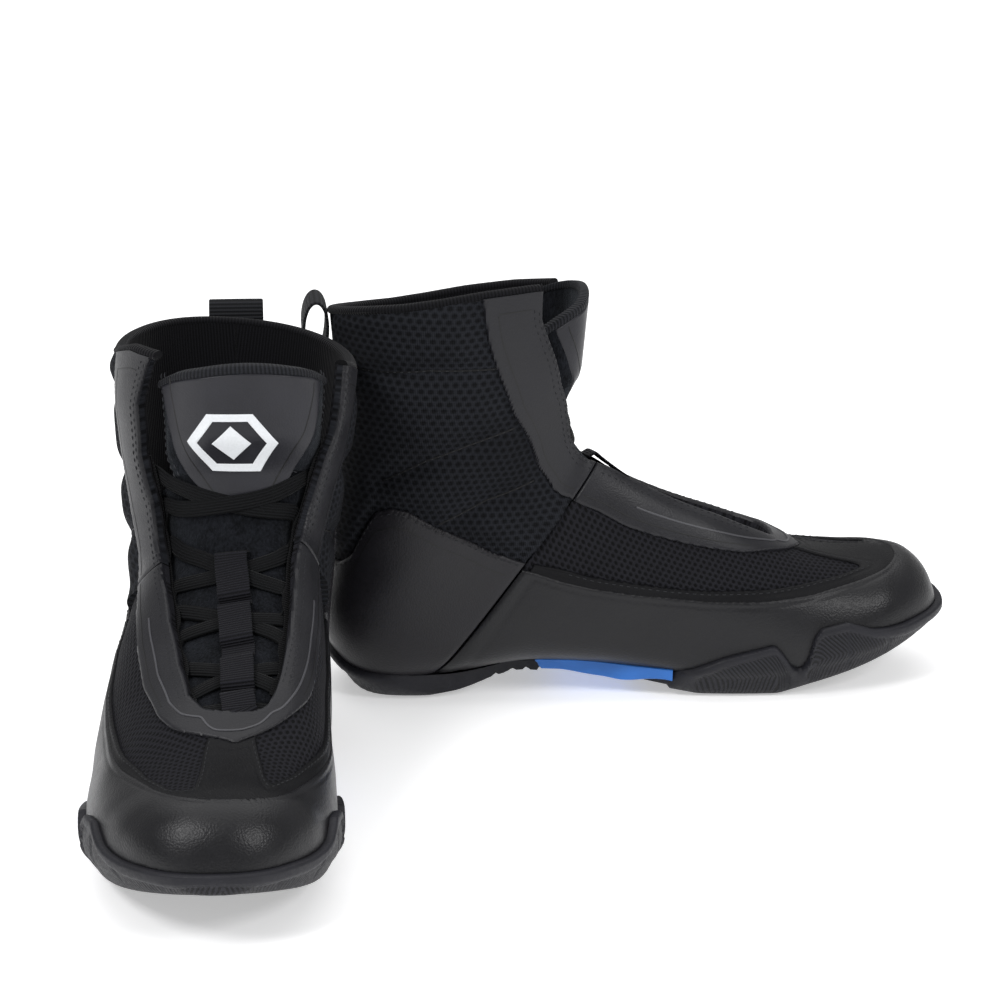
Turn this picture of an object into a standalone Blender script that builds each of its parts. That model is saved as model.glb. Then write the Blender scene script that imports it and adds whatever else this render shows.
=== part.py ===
"""A pair of lace-up boxing boots, mid-calf cut, modelled in metres with +Z up.

Each boot is drawn once in its own frame, in millimetres: X runs from the heel
(0) to the toe (285), +Y is the outer (lateral) side of the foot, -Y the inner
(medial) side and Z is the height above the ground.  The upper is a loft of
closed cross-sections that fan round the instep, from upright sections at the
toe to level sections at the collar.  Every layer of the boot (mesh, overlays,
stiffeners, lining, sole) is a shell between two offsets of that one loft, so
neighbouring layers stay parallel and keep a small gap.  The right boot is the
left one mirrored, standing at a right angle to it.
"""

import math

import bmesh
import bpy
import numpy as np
from mathutils import Matrix

# ---------------------------------------------------------------- dimensions
MM = 0.001
BOOT_LENGTH = 285.0          # heel to toe, an EU 42
GAP = 0.3                    # clearance between touching pieces
MESH_THICKNESS = 3.0         # spacer mesh with its foam
OVERLAY_THICKNESS = 1.2      # synthetic leather
LINING_THICKNESS = 1.0
STIFFENER_THICKNESS = 1.3    # heel counter and toe puff
BOARD_THICKNESS = 1.8
SOCK_THICKNESS = 2.6
TONGUE_DEPTH = -8.2          # outer face of the lower tongue, below the loft
TONGUE_THICKNESS = 2.6
SOLE_WALL = 2.5
MIDSOLE_THICKNESS = 2.3
SHANK_THICKNESS = 1.2
LACE_WIDTH, LACE_THICKNESS = 6.5, 1.0
KEEPER_WIDTH, KEEPER_THICKNESS = 14.0, 0.9
TAB_WIDTH, TAB_THICKNESS, TAB_LEAN = 24.0, 1.3, 4.0

LEFT_YAW = 4.9               # degrees, toe away from the other boot's side
RIGHT_YAW = -87.2            # degrees
RIGHT_HEEL = (-41.0, -12.5)  # where the right boot's heel stands, from the left's
PAIR_CENTRE = (100.545, -113.69) # middle of the pair's footprint, in the same frame

# Stations of the loft.  T is the front or top of a section, B its back or
# bottom, yT and yB their sideways places, Yl and Ym the widest points, p the
# widest point's place from T to B, and the n's how square each quarter is.
STATIONS = [
    # T x, z        B x, z        yT     yB    Yl     Ym    p    n1l  n1m  n2
    (285.0, 30.0, 285.0, 30.0, 0.0, 0.0, 0.0, 0.0, 0.60, 2.0, 2.0, 2.2),
    (284.0, 35.5, 284.0, 28.3, -0.3, 0.0, 9.0, -8.5, 0.60, 2.0, 2.0, 2.4),
    (280.3, 45.0, 280.3, 27.3, -1.0, 0.0, 18.5, -17.5, 0.66, 2.0, 2.0, 2.6),
    (272.5, 52.8, 272.5, 25.4, -2.0, 0.0, 28.5, -27.0, 0.70, 2.1, 2.1, 3.0),
    (260.0, 56.0, 260.0, 21.6, -3.0, 0.5, 38.0, -36.0, 0.72, 2.2, 2.2, 3.2),
    (242.0, 57.2, 242.0, 16.2, -4.5, 1.5, 46.0, -42.0, 0.74, 2.2, 2.2, 3.4),
    (220.0, 61.4, 220.0, 10.6, -8.0, 3.0, 52.0, -44.5, 0.75, 2.1, 2.4, 3.4),
    (198.0, 73.5, 198.0, 6.6, -17.0, 4.0, 53.5, -44.5, 0.76, 1.9, 2.6, 3.4),
    (177.0, 84.0, 174.0, 6.6, -21.0, 4.0, 52.5, -43.5, 0.76, 1.85, 2.8, 3.4),
    (160.0, 92.0, 148.0, 11.0, -22.0, 3.0, 51.0, -43.0, 0.74, 1.9, 2.9, 3.2),
    (146.0, 99.5, 120.0, 15.0, -22.0, 2.0, 48.5, -43.0, 0.70, 2.0, 3.0, 3.2),
    (134.5, 107.5, 88.0, 15.5, -21.0, 1.0, 46.0, -43.0, 0.66, 2.1, 3.0, 3.0),
    (126.0, 115.0, 50.0, 9.5, -20.0, 0.0, 43.0, -42.5, 0.62, 2.3, 3.2, 3.0),
    (120.5, 122.5, 14.0, 9.0, -17.0, 0.0, 40.5, -43.0, 0.55, 2.4, 3.4, 2.8),
    (117.5, 131.0, 0.5, 32.0, -14.0, -1.0, 40.0, -45.0, 0.52, 2.5, 3.8, 2.5),
    (116.5, 140.0, 1.5, 62.0, -12.0, -2.0, 41.0, -47.0, 0.50, 2.6, 4.2, 2.4),
    (116.6, 150.0, 5.5, 92.0, -10.5, -3.0, 42.0, -50.0, 0.50, 2.6, 4.2, 2.3),
    (117.6, 160.0, 7.5, 118.0, -10.0, -4.0, 43.0, -53.0, 0.50, 2.5, 3.8, 2.2),
    (119.0, 170.0, 7.5, 142.0, -9.5, -5.0, 44.0, -55.5, 0.50, 2.4, 3.2, 2.2),
    (120.5, 180.0, 6.5, 162.0, -9.0, -5.5, 44.5, -57.0, 0.50, 2.3, 2.7, 2.2),
    (122.0, 190.0, 5.0, 180.0, -8.5, -6.0, 44.5, -58.0, 0.50, 2.2, 2.4, 2.2),
    (123.8, 202.0, 2.5, 200.0, -8.0, -6.5, 44.5, -58.5, 0.50, 2.2, 2.3, 2.2),
]
SEAM = 12.1                  # station of the slanting seam between vamp and quarter

# The collar's height along X and its slope across the boot, for each boot:
# the soft shafts stand a little differently.
COLLAR = {
    "left": ([(0, 180), (17, 180.5), (35, 181.5), (51, 183.5), (70, 186.5), (93, 189), (125, 190)], -0.22),
    "right": ([(0, 178), (30, 176.5), (60, 176), (80, 181), (99, 188), (125, 189)], 0.09),
}
# Heights along X of the lines that bound the panels, on the boot's side.
HEEL_PANEL_TOP = [(0, 64), (3, 65.5), (8, 67), (13, 72), (18, 84), (23, 94), (30, 97), (37, 96), (49, 88.5), (62, 82), (75, 74.5), (89, 69), (110, 64)]
WINDOW_FOOT = [(60, 75), (92, 68.5), (108, 65), (121, 61), (142, 57), (156, 54.5), (174, 52.5), (197, 52), (215, 52), (234, 52.5), (253, 54.5), (262, 58), (290, 75)]
RAND_TOP = [(60, 71), (92, 65), (106, 60), (121, 56), (140, 52.5), (174, 48), (197, 47), (221, 47.5), (246, 50.5), (258, 53), (268, 56), (273, 60), (290, 80)]
SOLE_TOP = [(-5, 27), (0, 25), (5, 21.5), (11, 17), (16, 15.6), (25, 14.6), (58, 14), (71, 15.5), (91, 17), (98, 17.5), (144, 15.3), (158, 14.2), (166, 16), (180, 21.2), (202, 26.5), (204.5, 26.5), (208, 22.5), (212, 17), (216, 15.5), (219.5, 20), (221.5, 29), (225, 33.5), (237, 35.5), (249, 31.8), (256, 31.5), (264, 31.8), (272, 33), (282, 34), (290, 34)]
GROUND = [(-5, 9), (0, 7), (5, 3.2), (9, 1.0), (13, 0), (47, 0), (60, 2.6), (75, 7.5), (90, 9.6), (110, 10), (128, 8.5), (145, 5.6), (158, 2.2), (170, 0), (207, 0), (220, 4), (245, 10.8), (260, 15.6), (272, 20), (281, 23.5), (290, 28)]
# The throat: where its edges lie round each section, from station 6.6 up.
THROAT_LATERAL = [(6.60, 0.02), (6.65, 0.08), (6.8, 0.145), (7.25, 0.20), (8.24, 0.24), (9.74, 0.27), (11.2, 0.27), (12.7, 0.245), (14.5, 0.24), (16.3, 0.28), (18.15, 0.28), (19.7, 0.235), (20.5, 0.20), (21, 0.19)]
THROAT_MEDIAL = [(6.60, 0.02), (6.64, -0.02), (6.75, -0.035), (7.1, -0.04), (8, -0.042), (9.8, -0.055), (11.5, -0.07), (12.3, -0.085), (13.5, -0.12), (14.7, -0.16), (15.8, -0.20), (16.9, -0.245), (18.6, -0.285), (19.7, -0.31), (21, -0.31)]
EYESTAY_LATERAL = [(6.02, 0.0), (6.08, 0.05), (6.15, 0.09), (6.38, 0.19), (6.95, 0.27), (8.12, 0.34), (9.5, 0.37), (10.86, 0.37), (12.4, 0.345), (13.4, 0.33), (15.15, 0.36), (16.7, 0.42), (18.2, 0.43), (20, 0.38), (21, 0.34)]
EYESTAY_MEDIAL = [(6.02, 0.0), (6.08, -0.02), (6.15, -0.05), (6.4, -0.09), (6.8, -0.12), (7.3, -0.15), (7.8, -0.165), (8.75, -0.185), (9.7, -0.20), (10.4, -0.205), (11.3, -0.195), (12.36, -0.19), (13.4, -0.205), (15.15, -0.28), (16.7, -0.37), (18.2, -0.42), (19.1, -0.44), (21, -0.46)]
WINDOW_INNER_LATERAL = [(3, 0.15), (3.9, 0.12), (5.2, 0.10), (6.2, 0.10), (8, 0.10)]
WINDOW_INNER_MEDIAL = [(3, -0.2), (4.2, -0.18), (5.3, -0.11), (6.1, -0.05), (8, -0.05)]
FLAP_HINGE = 14.6            # station where the tongue folds
# The lace: a bar at the toe end, then four crossings.  Each side's list holds
# the stations where it goes under the edge and comes out again, from the bar up.
LACE_LATERAL = [7.10, 7.65, 8.45, 9.55, 10.40, 11.40, 13.05, 14.25, 15.40]
LACE_MEDIAL = [6.85, 7.35, 7.85, 8.65, 9.30, 10.35, 11.80, 13.50, 14.90]
CROSSINGS = [7.8, 9.42, 11.1, 13.65]
KEEPER_LOOPS = [(6.62, 7.34), (7.42, 8.27), (8.70, 9.95), (10.15, 11.78)]  # where the keeper stands off, from and to
LOOP_ROWS = [7.35, 9.0, 10.9, 13.65, 15.6]   # tabs of the scalloped webbing

STATION_LINES = [0, 0.7, 1.5, 2.5, 3.5, 4.5, 5.5, 6.2, 6.7, 7.4, 8.1, 8.72, 9.7, 10.7, 11.4, 12.1, 13.0, 14.0, 15.0, 16.3, 17.7, 19.2, 20.2, 21.0]
ROUND_LINES = [0, 0.09, 0.19, 0.31, 0.44, 0.57, 0.71, 0.86, 1.0]

COLOURS = {
    "rand": ((0.028, 0.028, 0.030), 0.55), "mesh": ((0.010, 0.010, 0.012), 0.85),
    "vamp": ((0.014, 0.014, 0.017), 0.85), "eyestay": ((0.036, 0.036, 0.042), 0.5),
    "rubber": ((0.022, 0.022, 0.027), 0.6), "lining": ((0.012, 0.012, 0.015), 0.9),
    "lace": ((0.018, 0.018, 0.021), 0.8), "webbing": ((0.022, 0.022, 0.026), 0.75),
    "blue": ((0.041, 0.095, 0.50), 0.45), "patch": ((0.042, 0.043, 0.050), 0.5),
    "board": ((0.45, 0.38, 0.26), 0.9), "foam": ((0.05, 0.05, 0.055), 0.9),
    "stiffener": ((0.55, 0.52, 0.46), 0.7),
}

# ------------------------------------------------------------------ the loft
K = np.array(STATIONS)


def keyed(s):
    """The station table at any station, by a Catmull-Rom curve spaced by chord."""
    s = np.clip(np.asarray(s, float), 0, len(K) - 1)
    i = np.clip(np.floor(s).astype(int), 0, len(K) - 2)
    u = (s - i)[..., None]
    p1, p2 = K[i], K[i + 1]
    p0 = np.where((i > 0)[..., None], K[np.maximum(i - 1, 0)], 2 * p1 - p2)
    p3 = np.where((i < len(K) - 2)[..., None], K[np.minimum(i + 2, len(K) - 1)], 2 * p2 - p1)

    def chord(a, b):
        return np.maximum(np.sqrt(((a[..., :4] - b[..., :4]) ** 2).sum(-1)), 1e-6)[..., None]

    d0, d1, d2 = chord(p0, p1), chord(p1, p2), chord(p2, p3)
    m1 = d1 * ((p1 - p0) / d0 * d1 + (p2 - p1) / d1 * d0) / (d0 + d1)
    m2 = d1 * ((p2 - p1) / d1 * d2 + (p3 - p2) / d2 * d1) / (d1 + d2)
    h = u * u * (3 - 2 * u)
    return (1 - h) * p1 + h * p2 + u * (1 - u) * ((1 - u) * m1 - u * m2)


def half_section(k, side):
    """One side of the sections k, as superellipse quarters from T to B."""
    a = np.linspace(0, math.pi, 97)
    c, n = np.abs(np.cos(a)), np.sin(a)
    k = k[..., None, :]
    p, n1, n2 = k[..., 8], k[..., 9 if side > 0 else 10], k[..., 11]
    first = a <= math.pi / 2
    e = np.where(first, 2 / n1, 2 / n2)
    f = np.where(first, p * (1 - c ** e), p + (1 - p) * c ** e)
    w = np.maximum(n, 0) ** e
    middle = k[..., 4] * (1 - f) + k[..., 5] * f
    y = middle + (k[..., 6 if side > 0 else 7] - middle) * w
    return np.stack([k[..., 0] * (1 - f) + k[..., 2] * f, y, k[..., 1] * (1 - f) + k[..., 3] * f], -1)


def loft(s, t):
    """Points at stations s and fractions t round the section: 0 at the front or top, 1 at the back or bottom by the lateral side, -1 by the medial side."""
    k = keyed(s)
    out = np.empty((len(s), len(t), 3))
    for side, pick in ((1, t >= 0), (-1, t < 0)):
        half = half_section(k, side)
        run = np.concatenate([np.zeros((len(s), 1)), np.cumsum(np.sqrt((np.diff(half, axis=1) ** 2).sum(-1)), 1)], 1)
        for i in range(len(s)):
            for c in range(3):
                if run[i, -1] > 0.5:
                    out[i, pick, c] = np.interp(np.abs(t[pick]) * run[i, -1], run[i], half[i, :, c])
                else:
                    out[i, pick, c] = half[i, 0, c]
    return out


def normals_at(s, t):
    """Outward unit normals at the crossings of s and t, from central differences."""
    ds, dt = 0.04, 0.012
    up = loft(np.clip(s + ds, 0.02, 21), t) - loft(np.clip(s - ds, 0.02, 21), t)
    ends = np.abs(t) > 1 - dt
    forward = np.where(t + dt > 1, t + dt - 2, t + dt)
    backward = np.where(t - dt < -1, t - dt + 2, t - dt)
    across = loft(np.maximum(s, 0.05), forward) - loft(np.maximum(s, 0.05), backward)
    n = np.cross(up, across)
    n /= np.maximum(np.linalg.norm(n, axis=-1, keepdims=True), 1e-9)
    centre = loft(s, np.linspace(-0.95, 0.95, 39)).mean(1, keepdims=True)
    n *= np.where(((loft(s, t) - centre) * n).sum(-1, keepdims=True) < 0, -1, 1)
    n[s <= 0.0] = (1, 0, 0)
    for i in np.nonzero(ends)[0]:
        n[:, i, 1] *= 0.0
        n[:, i] /= np.maximum(np.linalg.norm(n[:, i], axis=-1, keepdims=True), 1e-9)
    return n


S_LINES = np.array(STATION_LINES, float)
T_LINES = np.array([-v for v in ROUND_LINES[:0:-1]] + ROUND_LINES, float)   # -1 .. 1
POINTS = loft(S_LINES, T_LINES)
NORMALS = normals_at(S_LINES, T_LINES)
COLUMNS = len(T_LINES) - 1        # the last line is the first one again


def base_mesh():
    """The loft as triangles with one vertex at the toe's tip: (s, t, point, normal) and triangles facing out."""
    index = np.zeros((len(S_LINES), COLUMNS + 1), int)
    rows = [(0.0, 0.0, *POINTS[0, 0], 1.0, 0.0, 0.0)]
    for i in range(1, len(S_LINES)):
        for j in range(COLUMNS):
            index[i, j] = len(rows)
            rows.append((S_LINES[i], T_LINES[j], *POINTS[i, j], *NORMALS[i, j]))
        index[i, COLUMNS] = index[i, 0]
    tris = []
    for i in range(len(S_LINES) - 1):
        for j in range(COLUMNS):
            a, b, c, d = index[i, j], index[i + 1, j], index[i + 1, j + 1], index[i, j + 1]
            if i == 0:
                tris.append((a, b, c))
            elif (T_LINES[j] >= 0) == (T_LINES[j] + T_LINES[j + 1] >= 0) and T_LINES[j] >= 0:
                tris += [(a, b, c), (a, c, d)]
            else:
                tris += [(a, b, d), (b, c, d)]
    rows = np.array(rows)
    a, b, c = (rows[[t[n] for t in tris], 2:5] for n in range(3))
    outward = (np.cross(b - a, c - a) * rows[[t[0] for t in tris], 5:8]).sum(-1).sum() > 0
    return rows, [t if outward else t[::-1] for t in tris]


BASE, BASE_TRIS = base_mesh()


def between(table, x):
    return np.interp(x, [row[0] for row in table], [row[1] for row in table])


def smooth(low, high, x):
    u = np.clip((x - low) / (high - low), 0, 1)
    return u * u * (3 - 2 * u)


class Patch:
    """A piece of the base mesh, cut along the zero lines of functions of its vertices."""

    def __init__(self):
        self.rows = [tuple(row) for row in BASE]
        self.faces = [list(t) for t in BASE_TRIS]

    def cut(self, function, snap=0.02):
        rows = np.array(self.rows)
        values = function(rows[:, 0], rows[:, 1], rows[:, 2], rows[:, 3], rows[:, 4])
        values = np.where(np.abs(values) < snap, 0.0, values)
        made = {}
        faces = []
        for face in self.faces:
            v = values[face]
            if (v >= 0).all():
                if (v > 0).any():
                    faces.append(face)
                continue
            if (v <= 0).all():
                continue
            out = []
            for a, b in zip(face, face[1:] + face[:1]):
                if values[a] >= 0:
                    out.append(a)
                if values[a] * values[b] < 0:
                    key = (min(a, b), max(a, b))
                    if key not in made:
                        low, high = np.array(self.rows[key[0]]), np.array(self.rows[key[1]])
                        if abs(low[1] - high[1]) > 1:
                            high[1] += 2 if high[1] < low[1] else -2
                        f = values[key[0]] / (values[key[0]] - values[key[1]])
                        row = low + (high - low) * f
                        row[1] = (row[1] + 1) % 2 - 1
                        made[key] = len(self.rows)
                        self.rows.append(tuple(row))
                    out.append(made[key])
            if len(set(out)) >= 3:
                faces.append(out)
        self.faces = faces
        return self

    def shell(self, inner, outer):
        """The closed shell between two offsets, each a number or a function of the rows that gives points."""
        used = sorted({v for face in self.faces for v in face})
        place = {v: n for n, v in enumerate(used)}
        rows = np.array(self.rows)[used]

        def offset(by):
            return by(rows) if callable(by) else rows[:, 2:5] + rows[:, 5:8] * by

        points = np.concatenate([offset(outer), offset(inner)])
        n = len(used)
        faces, sides = [], {}
        for face in self.faces:
            top = [place[v] for v in face]
            faces.append(top)
            faces.append([v + n for v in reversed(top)])
            for a, b in zip(top, top[1:] + top[:1]):
                sides[(a, b)] = True
        for a, b in sides:
            if (b, a) not in sides:
                faces.append([b, a, a + n, b + n])
        return points, faces


def base_point(s, t, off):
    """A point on the base mesh's own facets, off by the normal."""
    t = (t + 1) % 2 - 1
    i = min(max(int(np.searchsorted(S_LINES, s, side="right")) - 1, 0), len(S_LINES) - 2)
    j = min(max(int(np.searchsorted(T_LINES, t, side="right")) - 1, 0), COLUMNS - 1)
    u = (s - S_LINES[i]) / (S_LINES[i + 1] - S_LINES[i])
    v = (t - T_LINES[j]) / (T_LINES[j + 1] - T_LINES[j])
    grid = np.concatenate([POINTS, NORMALS], -1)
    a, b, c, d = grid[i, j], grid[i + 1, j], grid[i + 1, j + 1], grid[i, j + 1]
    if T_LINES[j] >= 0:
        q = a + (b - a) * u + (c - b) * v if u >= v else a + (c - d) * u + (d - a) * v
    else:
        q = a + (b - a) * u + (d - a) * v if u + v <= 1 else c + (d - c) * (1 - u) + (b - c) * (1 - v)
    return q[:3] + q[3:] * off, q[3:] / np.linalg.norm(q[3:])


# --------------------------------------------------------- lines on the boot
def lateral(s, t):
    return t >= 0


def collar_height(x, y, boot):
    table, slope = COLLAR[boot]
    return between(table, x) + slope * (y + 7)


def sole_top(x, y):
    return between(SOLE_TOP, x)


def rand_top(x, y):
    return between(RAND_TOP, x) + 2.0 * smooth(0, 30, y)


def outside_throat(s, t, margin=0.0):
    """Positive on the upper, negative in the throat's opening, in millimetres or so."""
    low, high = between(THROAT_MEDIAL, s) - margin, between(THROAT_LATERAL, s) + margin
    inside = np.minimum(t - low, high - t) * 170
    inside = np.where(s < 6.6, (s - 6.6) * 20, inside)
    return -np.minimum(inside, (s - 6.6) * 20)


def in_eyestay(s, t, margin=0.0):
    low, high = between(EYESTAY_MEDIAL, s) - margin, between(EYESTAY_LATERAL, s) + margin
    return np.minimum(np.minimum(t - low, high - t) * 170, (s - 6.05) * 20)


def in_window(s, t, x, y, z):
    """Positive inside the open mesh windows of the vamp."""
    side = np.where(t >= 0, t - between(WINDOW_INNER_LATERAL, s), between(WINDOW_INNER_MEDIAL, s) - t) * 150
    return np.minimum(side, np.minimum(z - between(WINDOW_FOOT, x), (s - 3.3) * 10))


def board_edge(x):
    """How low the sides of the upper come, where the lasting board takes over."""
    return np.interp(x, [-5, 8, 30, 50, 88, 120, 150, 175, 198, 220, 242, 260, 272, 280, 290],
                     [16, 13.5, 12.5, 12.8, 18.6, 18.2, 14.5, 10.4, 10.2, 14.0, 19.2, 24.0, 27.4, 29.4, 31])


# ------------------------------------------------------------------- objects
def start():
    for obj in list(bpy.data.objects):
        bpy.data.objects.remove(obj, do_unlink=True)
    for mesh in list(bpy.data.meshes):
        bpy.data.meshes.remove(mesh)
    collection = bpy.data.collections.new("boxing_boots")
    bpy.context.scene.collection.children.link(collection)
    return collection


def material(name):
    mat = bpy.data.materials.get(name)
    if mat is None:
        colour, rough = COLOURS[name]
        mat = bpy.data.materials.new(name)
        mat.use_nodes = True
        bsdf = mat.node_tree.nodes["Principled BSDF"]
        bsdf.inputs["Base Color"].default_value = (*colour, 1)
        bsdf.inputs["Roughness"].default_value = rough
        bsdf.inputs["Metallic"].default_value = 0.0
    return mat


class Boot:
    def __init__(self, side, collection):
        self.side, self.collection = side, collection
        self.frame = self.empty("frame", (0, 0, 0), None)
        if side == "left":
            place = Matrix.Translation((-PAIR_CENTRE[0] * MM, -PAIR_CENTRE[1] * MM, 0))
            self.frame.matrix_world = place @ Matrix.Rotation(math.radians(LEFT_YAW), 4, "Z")
        else:
            x, y = RIGHT_HEEL[0] - PAIR_CENTRE[0], RIGHT_HEEL[1] - PAIR_CENTRE[1]
            place = Matrix.Translation((x * MM, y * MM, 0))
            self.frame.matrix_world = place @ Matrix.Rotation(math.radians(RIGHT_YAW), 4, "Z") @ Matrix.Diagonal((1, -1, 1, 1))

    def empty(self, name, place, parent):
        obj = bpy.data.objects.new(f"{self.side}_{name}_axis" if parent else f"{self.side}_{name}", None)
        obj.empty_display_size = 0.02
        self.collection.objects.link(obj)
        obj.parent = parent
        obj.location = [v * MM for v in place]
        return obj

    def add(self, name, points, faces, colour, axis=None, turned=False):
        """One solid, its points in millimetres in the boot's frame, hung from the boot's frame or from a joint's empty."""
        origin = np.array([v / MM for v in axis.location]) if axis else np.zeros(3)
        mesh = bpy.data.meshes.new(f"{self.side}_{name}")
        mesh.from_pydata(((np.asarray(points) - origin) * MM).tolist(), [], faces)
        work = bmesh.new()
        work.from_mesh(mesh)
        if turned:
            bmesh.ops.recalc_face_normals(work, faces=work.faces)
        bmesh.ops.triangulate(work, faces=work.faces)
        work.to_mesh(mesh)
        work.free()
        mesh.shade_smooth()
        mesh.set_sharp_from_angle(angle=math.radians(50))
        mesh.materials.append(material(colour))
        obj = bpy.data.objects.new(f"{self.side}_{name}", mesh)
        self.collection.objects.link(obj)
        obj.parent = axis or self.frame
        return obj


def ribbon(path, normals, width, thickness, closed=False):
    """A flat strip swept along path: four points a step, its face square to the normals."""
    path, normals = np.asarray(path, float), np.asarray(normals, float)
    if closed:
        along = np.roll(path, -1, 0) - np.roll(path, 1, 0)
    else:
        along = np.gradient(path, axis=0)
    along /= np.linalg.norm(along, axis=1, keepdims=True)
    side = np.cross(normals, along)
    side /= np.linalg.norm(side, axis=1, keepdims=True)
    up = np.cross(along, side)
    width = np.broadcast_to(width, (len(path),))[:, None]
    corners = [path + side * width / 2, path - side * width / 2,
               path - side * width / 2 + up * thickness, path + side * width / 2 + up * thickness]
    points = np.stack(corners, 1).reshape(-1, 3)
    faces, n = [], len(path)
    for i in range(n if closed else n - 1):
        for c in range(4):
            d = (c + 1) % 4
            k = (i + 1) % n
            faces.append([i * 4 + c, i * 4 + d, k * 4 + d, k * 4 + c])
    if not closed:
        faces += [[3, 2, 1, 0], [(n - 1) * 4 + c for c in range(4)]]
    return points, faces


# -------------------------------------------------------------------- pieces
def side_of(sign):
    return lambda s, t, x, y, z: np.where(np.abs(t) > 0.999, 0.0, sign * t * 100)


def below_collar(boot, drop=0.0):
    return lambda s, t, x, y, z: collar_height(x, y, boot) - drop - z


def add_upper(boot):
    side = boot.side
    over = GAP, GAP + OVERLAY_THICKNESS
    above_board = lambda s, t, x, y, z: np.where(s < 13.7, z - board_edge(x), 5.0)

    # mesh body: one vamp and two quarters, met along the slanting seam
    vamp = Patch().cut(lambda s, t, x, y, z: 12.06 - s).cut(above_board).cut(lambda s, t, x, y, z: outside_throat(s, t))
    boot.add("vamp_mesh", *vamp.shell(-MESH_THICKNESS, 0.0), "vamp")
    for name, sign in (("lateral", 1), ("medial", -1)):
        quarter = Patch().cut(below_collar(side, 2.2)).cut(lambda s, t, x, y, z: s - 12.14).cut(lambda s, t, x, y, z: sign * t)
        quarter.cut(lambda s, t, x, y, z: 0.985 - np.abs(t)).cut(above_board)
        quarter.cut(lambda s, t, x, y, z: outside_throat(s, t))
        boot.add(f"quarter_{name}", *quarter.shell(-MESH_THICKNESS, 0.0), "mesh")

    # smooth overlays
    clear_of_sole = lambda s, t, x, y, z: np.where(s < 13.7, z - board_edge(x) - 1.3 - 4.0 * smooth(5, 45, y), 5.0)
    heel = Patch().cut(lambda s, t, x, y, z: s - 12.14).cut(clear_of_sole).cut(lambda s, t, x, y, z: between(HEEL_PANEL_TOP, x) - z)
    boot.add("heel_overlay", *heel.shell(*over), "rand")
    rand = Patch().cut(lambda s, t, x, y, z: 12.06 - s).cut(clear_of_sole).cut(lambda s, t, x, y, z: rand_top(x, y) - 0.2 - z)
    boot.add("toe_rand", *rand.shell(*over), "rand")
    frame = Patch().cut(lambda s, t, x, y, z: 11.4 - s).cut(lambda s, t, x, y, z: z - rand_top(x, y) - 0.2)
    frame.cut(lambda s, t, x, y, z: -in_eyestay(s, t, 0.003)).cut(lambda s, t, x, y, z: -in_window(s, t, x, y, z))
    boot.add("toe_panel", *frame.shell(*over), "rand")
    throat = Patch().cut(lambda s, t, x, y, z: 12.06 - s).cut(lambda s, t, x, y, z: in_eyestay(s, t, -0.002))
    throat.cut(lambda s, t, x, y, z: outside_throat(s, t))
    boot.add("throat_overlay", *throat.shell(*over), "eyestay")
    for name, sign in (("lateral", 1), ("medial", -1)):
        stay = Patch().cut(below_collar(side, 2.2)).cut(lambda s, t, x, y, z: s - 12.14).cut(lambda s, t, x, y, z: sign * t * 100 - 0.5)
        stay.cut(lambda s, t, x, y, z: in_eyestay(s, t)).cut(lambda s, t, x, y, z: outside_throat(s, t))
        boot.add(f"eyestay_{name}", *stay.shell(*over), "eyestay")


def add_inside(boot):
    side = boot.side
    deep = MESH_THICKNESS + GAP
    above_board = lambda s, t, x, y, z: np.where(s < 13.7, z - board_edge(x) - 0.4, 5.0)

    counter_top = lambda s, t, x, y, z: np.interp(x, [0, 20, 45, 75], [62, 62, 48, 26]) - z
    counter = Patch().cut(lambda s, t, x, y, z: s - 12.3).cut(above_board).cut(counter_top)
    boot.add("heel_counter", *counter.shell(-deep - STIFFENER_THICKNESS, -deep), "stiffener")
    puff = Patch().cut(lambda s, t, x, y, z: 4.6 - s).cut(above_board)
    boot.add("toe_puff", *puff.shell(-deep - STIFFENER_THICKNESS, -deep), "stiffener")

    def lining_face(extra):
        def at(rows):
            s, x, z = rows[:, 0], rows[:, 2], rows[:, 4]
            top = np.interp(x, [0, 20, 45, 75], [62, 62, 48, 26])
            sunk = (STIFFENER_THICKNESS + GAP + 0.4) * smooth(-30, -12, top - z) * smooth(10.0, 11.4, s)
            return rows[:, 2:5] - rows[:, 5:8] * (deep + sunk + extra)[:, None]
        return at

    lining = Patch().cut(below_collar(side, 2.2)).cut(lambda s, t, x, y, z: s - 7.1).cut(lambda s, t, x, y, z: np.where(s < 13.7, z - board_edge(x) - 3.4, 5.0))
    lining.cut(lambda s, t, x, y, z: outside_throat(s, t, 0.062))
    boot.add("lining", *lining.shell(lining_face(LINING_THICKNESS), lining_face(0.0)), "lining")

    # collar binding: a rolled hem that closes the top of mesh and lining
    binding = Patch().cut(lambda s, t, x, y, z: z - collar_height(x, y, side) + 1.8)
    binding.cut(lambda s, t, x, y, z: collar_height(x, y, side) - z).cut(lambda s, t, x, y, z: outside_throat(s, t))
    boot.add("collar_binding", *binding.shell(-deep - LINING_THICKNESS, 0.6), "lining")

    bottom = lambda drop: (lambda s, t, x, y, z: np.where(s < 13.7, board_edge(x) - drop - z, -5.0))
    board = Patch().cut(bottom(0.4)).cut(lambda s, t, x, y, z: 13.4 - s)
    boot.add("lasting_board", *board.shell(-BOARD_THICKNESS, -0.1), "board")
    sock = Patch().cut(bottom(0.6)).cut(lambda s, t, x, y, z: 13.3 - s).cut(lambda s, t, x, y, z: s - 2.4)
    boot.add("sockliner", *sock.shell(-BOARD_THICKNESS - GAP - SOCK_THICKNESS, -BOARD_THICKNESS - GAP), "foam")


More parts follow.
